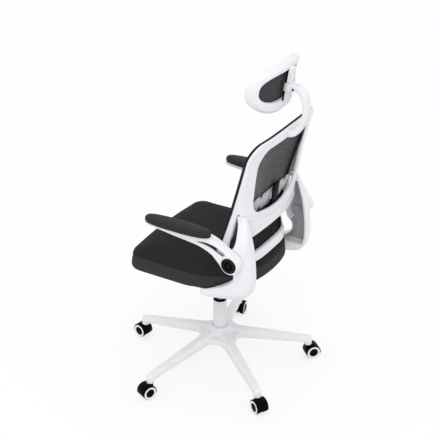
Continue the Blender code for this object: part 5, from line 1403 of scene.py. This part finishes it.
def slot_flare(side):
    """The slot opens forward and down towards the arm's inner side, so that it can be seen through."""
    slot = inset_loop(arm_slot(), -SLOT_GROW)
    shift = Vector((-SLOT_FLARE, -SLOT_FLARE))
    rings = []
    for x, share in ((ARM_OUTER_X + 0.004, 0.0), (ARM_OUTER_X - 0.008, 0.0), (ARM_INNER_X - 0.004, 1.0)):
        rings.append([Vector((side * x, *(p + shift * share))) for p in slot])
    return loft(rings)


def stop_solid(side):
    """The block in the slot's rear end that stops the arm's swing."""
    loop = from_pivot(reversed(STOP_CORNERS))
    return moulding([loop], ARM_INNER_X + STOP_INSET, ARM_OUTER_X - STOP_INSET, along_x(side))


def inside(loop, y, z):
    """Whether a point is inside a closed line in (y, z)."""
    hits = [a.x + (b.x - a.x) * (z - a.y) / (b.y - a.y) for a, b in pairs_round(loop)
            if (a.y > z) != (b.y > z)]
    return sum(1 for hit in hits if hit > y) % 2 == 1


def paint_pocket_shade(mesh, side, floor):
    """The bracket's hollow gets a darker grey than its shell: painted shade in the recess."""
    loop = bracket_pocket()[::3]

    def hollow(face):
        co = face.center
        if abs(co.x) > floor + 0.0015 or face.normal.x * side > 0.3:
            return False
        deep = abs(bracket_lean(Vector((floor, co.y, co.z))).x)
        return BRACKET_INNER_X + 0.0012 < abs(co.x) < deep + 0.0015 and inside(loop, co.y, co.z)

    repaint(mesh, POCKET_SHADE_GREY, hollow)


def pad_solid(side):
    """A long oval pad, flat underneath, with a parting line round it, soft edges and a low crown."""
    rows = [(0.88, 0.0), (0.93, 0.015), (0.965, 0.06), (0.978, 0.12), (0.972, 0.145), (0.985, 0.17),
            (0.998, 0.28), (1.0, 0.40), (0.99, 0.53), (0.965, 0.66), (0.92, 0.77), (0.85, 0.86),
            (0.74, 0.925), (0.58, 0.97), (0.36, 0.993), (0.14, 1.0)]
    outline = superellipse(PAD_HALF_WIDTH, PAD_HALF_LENGTH, 2.6, 96)
    rings = []
    for share, height in rows:
        trim = PAD_HALF_WIDTH * (1.0 - share)
        stretch = (PAD_HALF_LENGTH - trim) / PAD_HALF_LENGTH
        rings.append([Vector((side * (PAD_X + p.x * share), PAD_CENTRE_Y + p.y * stretch,
                              PAD_BOTTOM + PAD_THICKNESS * height)) for p in outline])
    return loft(rings)


def cap_solid(side):
    """A round cap with a dish in its face and a ring in the dish."""
    low = ARM_OUTER_X + GAP
    high = low + CAP_THICKNESS
    dish = CAP_RADIUS * CAP_DISH
    sunk, ring = high - 0.0014, high - 0.0008
    cap = [(0.0, low), (CAP_RADIUS - 0.001, low), (CAP_RADIUS - 0.0002, low + 0.0004),
           (CAP_RADIUS, low + 0.001), (CAP_RADIUS - 0.0003, high - 0.0006), (CAP_RADIUS - 0.0012, high),
           (dish + 0.0012, high), (dish, high - 0.0006), (dish - 0.0004, sunk), (dish * 0.62, sunk),
           (dish * 0.58, ring), (dish * 0.48, ring), (dish * 0.44, sunk), (0.0, sunk)]
    return turned(cap, 96, place=lambda u, v, w: Vector((side * w, PIVOT_Y + u, PIVOT_Z + v)))


# Seat cushion


def cushion_rings(shrink):
    """The cushion's skin, drawn in by a small distance so that the foam can swell it."""
    outline = inset_loop(seat_outline(), shrink)
    middle = Vector((0.0, (SEAT_FRONT + SEAT_REAR) / 2))
    edge = SEAT_BOTTOM + CUSHION_SIDE
    base = SEAT_BOTTOM + 0.001
    low, middling, high = (blend(SEAT_BOTTOM, edge, share) for share in (0.35, 0.65, 0.84))
    insets = [(0.036, base, 0.0), (0.024, base, 0.45), (0.013, base, 0.9), (0.005, base + 0.001, 1.0),
              (0.001, base + 0.007, 0.9), (0.0, low, 0.35), (CUSHION_DRAW_IN, middling, 0.0),
              (0.004, high, 0.0), (0.009, edge + 0.0005, 0.0), (0.018, edge + 0.006, 0.0),
              (0.032, edge + 0.010, 0.0)]
    rings = [[Vector((p.x, p.y, height - share * cushion_roll(p.y))) for p in inset_loop(outline, inset)]
             for inset, height, share in insets]
    top = inset_loop(outline, insets[-1][0])
    for share, rise in ((0.84, 0.55), (0.60, 0.85), (0.30, 1.0)):
        height = edge + 0.010 + (CUSHION_CROWN - 0.011) * rise
        rings.append([Vector((*(middle + (p - middle) * share), height)) for p in top])
    return rings


def cushion_roll(y):
    """How far the upholstered edge rolls under the seat pan: less where the brackets' feet are."""
    return CUSHION_ROLL * (1.0 - 0.45 * ramp(y, 0.0, 0.06) - 0.55 * ramp(y, 0.08, 0.15))


def cushion_fall(point):
    """The front edge falls away under the thighs."""
    edge = SEAT_BOTTOM + CUSHION_SIDE
    middle = (SEAT_FRONT + SEAT_REAR) / 2
    upper = ramp(point.z, SEAT_BOTTOM + 0.02, edge)
    forward = max(0.0, (middle - point.y) / (middle - SEAT_FRONT) - 0.35) / 0.65
    point.z -= WATERFALL * upper * forward * forward
    return point


def swell(obj, voxel, cap, pinned):
    """Let cloth under pressure fill a skin out, by no more than a cap.

    pinned(point) gives how firmly a point is held.
    """
    modify(obj, "REMESH", mode="VOXEL", voxel_size=voxel)
    bake(obj)
    start = [v.co.copy() for v in obj.data.vertices]
    group = obj.vertex_groups.new(name="held")
    for vertex in obj.data.vertices:
        group.add([vertex.index], pinned(vertex.co), "REPLACE")
    cloth = obj.modifiers.new("cloth", "CLOTH")
    for key, value in SWELL_CLOTH.items():
        setattr(cloth.settings, key, value)
    cloth.settings.effector_weights.gravity = 0.0
    scene = bpy.context.scene
    for step in range(1, SWELL_FRAMES + 1):
        scene.frame_set(step)
    bake(obj)
    obj.vertex_groups.clear()
    scene.frame_set(1)
    for vertex, before in zip(obj.data.vertices, start):
        shift = vertex.co - before
        if shift.length > cap:
            vertex.co = before + shift * (cap / shift.length)
    modify(obj, "SMOOTH", factor=0.5, iterations=3)
    modify(obj, "SUBSURF", levels=1, render_levels=1)
    bake(obj)
    obj.data.shade_smooth()


def build_cushion():
    obj = piece("seat_cushion_form", moved(loft(cushion_rings(CUSHION_SHRINK)), cushion_fall))
    seam = SEAT_BOTTOM + SEAM_SHARE * CUSHION_SIDE

    def pinned(co):
        return 1.0 - ramp(co.z, SEAT_BOTTOM + 0.004, SEAT_BOTTOM + 0.012)

    swell(obj, voxel=0.006, cap=0.004, pinned=pinned)
    box_uv(obj.data)
    dress(obj, CLOTH, "seat", "dark_fabric", "seat_cushion")
    # Painted light: the cushion's sides below the seam get the lighter cloth.
    repaint(obj.data, LIT_SIDE_CLOTH, lambda face: face.center.z < seam - 0.001 and abs(face.normal.z) < 0.75)
    build_welt(obj, seam)


def build_welt(cushion, seam):
    """The rolled seam between the cushion's top and its sides, laid on the swollen skin, in the lighter side
    cloth that paints a highlight along the edge.
    """
    middle = Vector((0.0, (SEAT_FRONT + SEAT_REAR) / 2))
    line = []
    for point in smooth_path(seat_outline(WELT_START), 260, closed=True):
        start = cushion_fall(Vector((point.x, point.y, seam)))
        inward = Vector((middle.x - point.x, middle.y - point.y, 0.0)).normalized()
        hit, place, normal, _ = cushion.ray_cast(start, inward)
        if hit:
            line.append((place, normal))
    rings = []
    for k, (place, normal) in enumerate(line):
        ahead = (line[(k + 1) % len(line)][0] - line[k - 1][0]).normalized()
        side = ahead.cross(normal).normalized()
        turns = [math.tau * step / 10 for step in range(10)]
        rings.append([place + side * (WELT_RADIUS * math.cos(turn))
                      + normal * (WELT_RADIUS * 0.8 * math.sin(turn)) for turn in turns])
    welt = piece("seat_welt", loft(rings, closed=True), 60.0)
    box_uv(welt.data)
    # Painted highlight: the welt takes the lighter side cloth.
    dress(welt, LIT_SIDE_CLOTH, "seat", "dark_fabric")


# Back


def build_back():
    solids = [frame_solid(), hoop_solid()]
    back = moulded("back_frame_form", solids, passes=7, keep=0.35, grooves=rail_grooves())
    dress(back, WHITE, "seat", "white_nylon", "back_frame")
    build_mesh()


def rail_grooves():
    """Moulded lines on the cross rail: three along the window's lower edge and a long triangle under them."""
    foot = SEAT_BOTTOM + RAIL_LOW_RISE + 0.012
    sill = SEAT_BOTTOM + OPENING_BOTTOM_RISE
    reach = BRACKET_INNER_X - 0.012

    def on_face(x, z):
        return Vector((x, rear_face(x, z), z))

    def sill_line(drop):
        points = []
        for k in range(-24, 25):
            x = reach * k / 24
            points.append(on_face(x, sill - drop + 0.040 * max(0.0, abs(x) / reach - 0.30) ** 2))
        return points

    grooves = [sill_line(drop) for drop in (0.010, 0.021, 0.026)]
    for side in (-1, 1):
        grooves.append([on_face(side * reach, sill - 0.028), on_face(side * reach, foot)])
        grooves.append([on_face(side * reach * (1 - k / 16), blend(foot, sill - 0.034, k / 16))
                        for k in range(17)])
    return grooves


def warp_threads(edge):
    """The upright threads, raised on both faces of the panel, cut off where they reach its edge."""
    half = max(p.x for p in edge)
    count = int(half / WARP_PITCH)
    wide, proud = WARP_WIDTH / 2, WARP_RISE + PANEL_HALF
    threads = []
    for k in range(-count, count + 1):
        x = k * WARP_PITCH
        heights = [a.y + (b.y - a.y) * (x - a.x) / (b.x - a.x) for a, b in pairs_round(edge)
                   if min(a.x, b.x) <= x < max(a.x, b.x)]
        if len(heights) < 2 or max(heights) - min(heights) < 0.01:
            continue
        low, high = min(heights) + 0.002, max(heights) - 0.002
        rings = []
        for step in range(41):
            z = blend(low, high, step / 40)
            y = front_face(x, z) - MESH_REST - PANEL_MIDDLE
            rings.append([Vector((x - wide, y - proud, z)), Vector((x + wide, y - proud, z)),
                          Vector((x + wide, y + proud, z)), Vector((x - wide, y + proud, z))])
        threads.append(loft(rings))
    return merged(threads)


def build_mesh():
    """The stretched panel on the hoop's front, its upright threads and the rolled border round it. The
    panel's pale grey is painted light, for the light that shows through the open knit.
    """
    border = hoop_outline(MESH_OVERHANG)
    middle = Vector((0.0, (BACK_TOP + BACK_BOTTOM) / 2))

    def laid(ring, forward):
        return [Vector((p.x, front_face(p.x, p.y) - MESH_REST - forward, p.y)) for p in ring]

    edge = inset_loop(border, PANEL_INSET)
    shares = [0.06 + 0.94 * k / 26 for k in range(27)]
    field = [[middle + (p - middle) * share for p in edge] for share in shares]
    rows = [laid(ring, PANEL_REAR) for ring in field] + [laid(ring, PANEL_FRONT) for ring in reversed(field)]
    panel = piece("back_mesh_form", loft(rows), 60.0)
    box_uv(panel.data)
    dress(panel, NET_PAINTED_LIGHT, "seat", "dark_fabric", "back_mesh")
    warp = piece("back_mesh_warp", warp_threads(edge), 60.0)
    box_uv(warp.data)
    dress(warp, WARP, "seat", "dark_fabric")
    rings = []
    for point, within in zip(border, inset_loop(border, 0.001)):
        inward = (within - point).normalized()
        rings.append([laid([point + inward * across], forward)[0] for across, forward in BORDER_SECTION])
    trim = piece("back_mesh_border", loft(rings, closed=True), 50.0)
    box_uv(trim.data)
    dress(trim, CLOTH, "seat", "dark_fabric")
    half = max(p.x for p in edge)
    widest = max(edge, key=lambda p: p.x).y
    across = laid([Vector((half * k / 40, widest)) for k in range(-40, 41)], 0.0)
    low, high = min(p.y for p in edge), max(p.y for p in edge)
    upward = laid([Vector((0.0, blend(low, high, k / 60))) for k in range(61)], 0.0)
    flat_size = tuple(sum((b - a).length for a, b in zip(line, line[1:])) for line in (across, upward))


# Lumbar support


def build_lumbar():
    for node, look, body, slot in (("lumbar_pad", GREY, "lumbar", "grey_plastic"),
                                   ("lumbar_carriage", WHITE, "lumbar", "white_nylon"),
                                   ("lumbar_rail", BLACK, "seat", "black_nylon")):
        dress(softened(node, node + "_form", 0.0008), look, body, slot, node)


# Headrest


def build_headrest():
    pin = neck_pin_point()
    knuckle = rod_x(KNUCKLE_RADIUS, -NECK_HALF_WIDTH, NECK_HALF_WIDTH, pin.y, pin.z, 48)
    deep = knuckle_depth() + 2 * KNUCKLE_RADIUS
    slot = fork_slot(KNUCKLE_RADIUS + SLACK, deep, KNUCKLE_HALF_WIDTH + GAP)
    sunk, clear = NECK_HALF_WIDTH - SCREW_SINK, 0.03
    holes = [rod_x(NECK_PIN_RADIUS + 2 * GAP, -clear, clear, pin.y, pin.z, 32)]
    holes += [rod_x(SCREW_RECESS, side * sunk, side * clear, pin.y, pin.z, 32) for side in (-1, 1)]
    neck = moulded("neck_bracket_form", [neck_solid(), knuckle], [slot, merged(holes)], 0.0008, 3, 0.45)
    dress(neck, WHITE, "seat", "white_nylon", "neck_bracket")
    loop = moulded("headrest_frame_form", [head_frame_solid()], voxel=0.0011)
    dress(loop, WHITE, "headrest", "white_nylon", "headrest_frame")
    build_rail()
    block = softened("headrest_block", "headrest_block_form", 0.001)
    dress(block, WHITE, "headrest_hinge", "white_nylon", "headrest_block")
    build_head_pad()


def upright(outline, low, high, side=1):
    """A bar of one section, given as (x, depth), that runs up one side of the headrest's back."""
    return loft([[head_place(0.0, up, depth) + Vector((side * x, 0.0, 0.0)) for x, depth in outline]
                 for up in (low, high)])


def build_rail():
    """The grooved rib that the block slides on, a black strip on each side of it that paints the shadow gap
    at the rib's foot, and the block's clips.
    """
    low = HEAD_HOLE_RISE - HEAD_HOLE_HALF_HEIGHT - RAIL_OVERLAP
    high = HEAD_HOLE_RISE + HEAD_HOLE_HALF_HEIGHT + RAIL_OVERLAP
    half, back = RIB_HALF_WIDTH, -RIB_DEPTH
    outline = [(half, 0.005), (half, -0.0040), (half - 0.0018, -0.0044), (half - 0.0018, -0.0066),
               (half, -0.0070), (half, back), (0.88 * half, back), (0.88 * half, back + 0.004),
               (0.45 * half, back + 0.004), (0.45 * half, back)]
    outline += [(-x, depth) for x, depth in reversed(outline)]
    dress(eased(upright(outline, low, high), "headrest_rail", 0.0004), WHITE, "headrest", "white_nylon")
    # Painted shade: a black strip along each side of the rib, where the gap there lies in shadow.
    strip = [(half - 0.001, 0.0047), (half + 0.0008, 0.0047), (half + 0.0008, -0.0014),
             (half - 0.001, -0.0014)]
    grip = [(half + 0.0014, 0.0048), (half + 0.0050, 0.0040), (half + 0.0056, -0.0030),
            (half + 0.0014, -0.0030)]
    for side, name in ((1, "left"), (-1, "right")):
        shadow_strip = eased(upright(strip, low + 0.004, high - 0.004, side), "headrest_shadow_strip_" + name, 0.0002)
        dress(shadow_strip, BLACK, "headrest", "black_nylon")
        clip = upright(grip, -BLOCK_HALF_HEIGHT, BLOCK_HALF_HEIGHT, side)
        dress(eased(clip, "headrest_clip_" + name, 0.0005), GREY, "headrest_hinge", "grey_plastic")


def build_head_pad():
    outer, hole = head_edges()
    edge = [rim + (window - rim).normalized() * (HEAD_WALL + 0.0012) for rim, window in zip(outer, hole)]
    back = HEAD_PLATE + GAP + SLACK
    crown = HEAD_DEPTH + HEAD_PAD_CROWN - 0.003
    rows = [(hole, 0.45, back), (hole, 1.0, back), (edge, 0.995, back + 0.001), (edge, 1.0, HEAD_DEPTH * 0.6),
            (edge, 0.99, HEAD_DEPTH + 0.002), (edge, 0.93, HEAD_DEPTH + 0.5 * HEAD_PAD_CROWN),
            (edge, 0.72, blend(HEAD_DEPTH, crown, 0.88)), (edge, 0.35, crown)]
    rings = [[head_place(p.x * share, p.y * share, depth) for p in ring] for ring, share, depth in rows]
    obj = piece("headrest_pad_form", loft(rings))

    def depth_of(co):
        return (co - HEAD_CENTRE).dot(HEAD_FRONT) - head_bend(co.x)

    def pinned(co):
        return 1.0 - ramp(depth_of(co), HEAD_DEPTH - 0.004, HEAD_DEPTH + 0.002)

    def window_back(face):
        return face.normal.dot(HEAD_FRONT) < -0.3 and depth_of(face.center) < HEAD_PLATE + 0.006

    swell(obj, voxel=0.003, cap=0.003, pinned=pinned)
    box_uv(obj.data)
    dress(obj, CLOTH, "headrest", "dark_fabric", "headrest_pad")
    repaint(obj.data, PAD_BACK_CLOTH, window_back)


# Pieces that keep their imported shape


def dress_rest():
    steel = ["gas_cylinder", "gas_rod", "column_clip", "mech_housing", "tilt_plate", "tilt_pin",
             "tension_spring", "arm_pivot_left", "arm_pivot_right"]
    for index in range(1, LEG_COUNT + 1):
        steel += ["caster_%d_stem" % index, "caster_%d_axle" % index]
    for look, nodes in ((STEEL, steel), (BLACK, ["tension_knob", "height_lever", "neck_pin"]),
                        (WOOD, ["seat_pan"])):
        for node in nodes:
            mesh = frame["nodes"][node].data
            mesh.materials.clear()
            mesh.materials.append(look)


# Camera, floor and light


def aimed(name, data, place, target):
    """A camera or a lamp at a place, turned towards a point."""
    obj = link(name, data)
    obj.location = place
    aim = Vector(target) - obj.location
    obj.rotation_euler = aim.to_track_quat("-Z", "Y").to_euler()
    return obj


def build_camera():
    data = bpy.data.cameras.new("camera")
    data.lens = CAMERA_LENS
    data.sensor_width = CAMERA_SENSOR
    bpy.context.scene.camera = aimed("camera", data, CAMERA_PLACE, CAMERA_AIM)


def build_stage():
    bm = bmesh.new()
    bmesh.ops.create_grid(bm, x_segments=1, y_segments=1, size=FLOOR_HALF)
    floor = piece("floor", bm)
    floor.location.z = -FLOOR_DROP
    m = new_look("floor_look")
    seen = m.seen()
    m.give(Base_Color=m.mix(seen, FLOOR_LIT, SEEN_WHITE), Roughness=1.0, Specular_IOR_Level=0.0)
    m.show(m.math("MULTIPLY", seen, FLOOR_GLOW), m.shader, m.node("Emission"), "Material Output")
    floor.data.materials.append(m.block)
    world = bpy.data.worlds.new("studio")
    bpy.context.scene.world = world
    m = Maker(world)
    light = m.nodes["Background"]
    m.put(light.inputs["Color"], WORLD_COLOUR)
    m.put(light.inputs["Strength"], WORLD_STRENGTH)
    m.show(m.seen(), light, m.node("Background", Color=SEEN_WHITE, Strength=1.0), "World Output")
    lamp = bpy.data.lights.new("key", "AREA")
    lamp.shape = "SQUARE"
    lamp.size = LAMP_SIZE
    lamp.energy = LAMP_POWER
    aimed("key", lamp, LAMP_PLACE, LAMP_AIM)
    bpy.context.scene.view_settings.view_transform = "Standard"


build_camera()
build_stage()
build_base()
build_column()
build_casters()
build_sides()
build_cushion()
build_back()
build_lumbar()
build_headrest()
dress_rest()
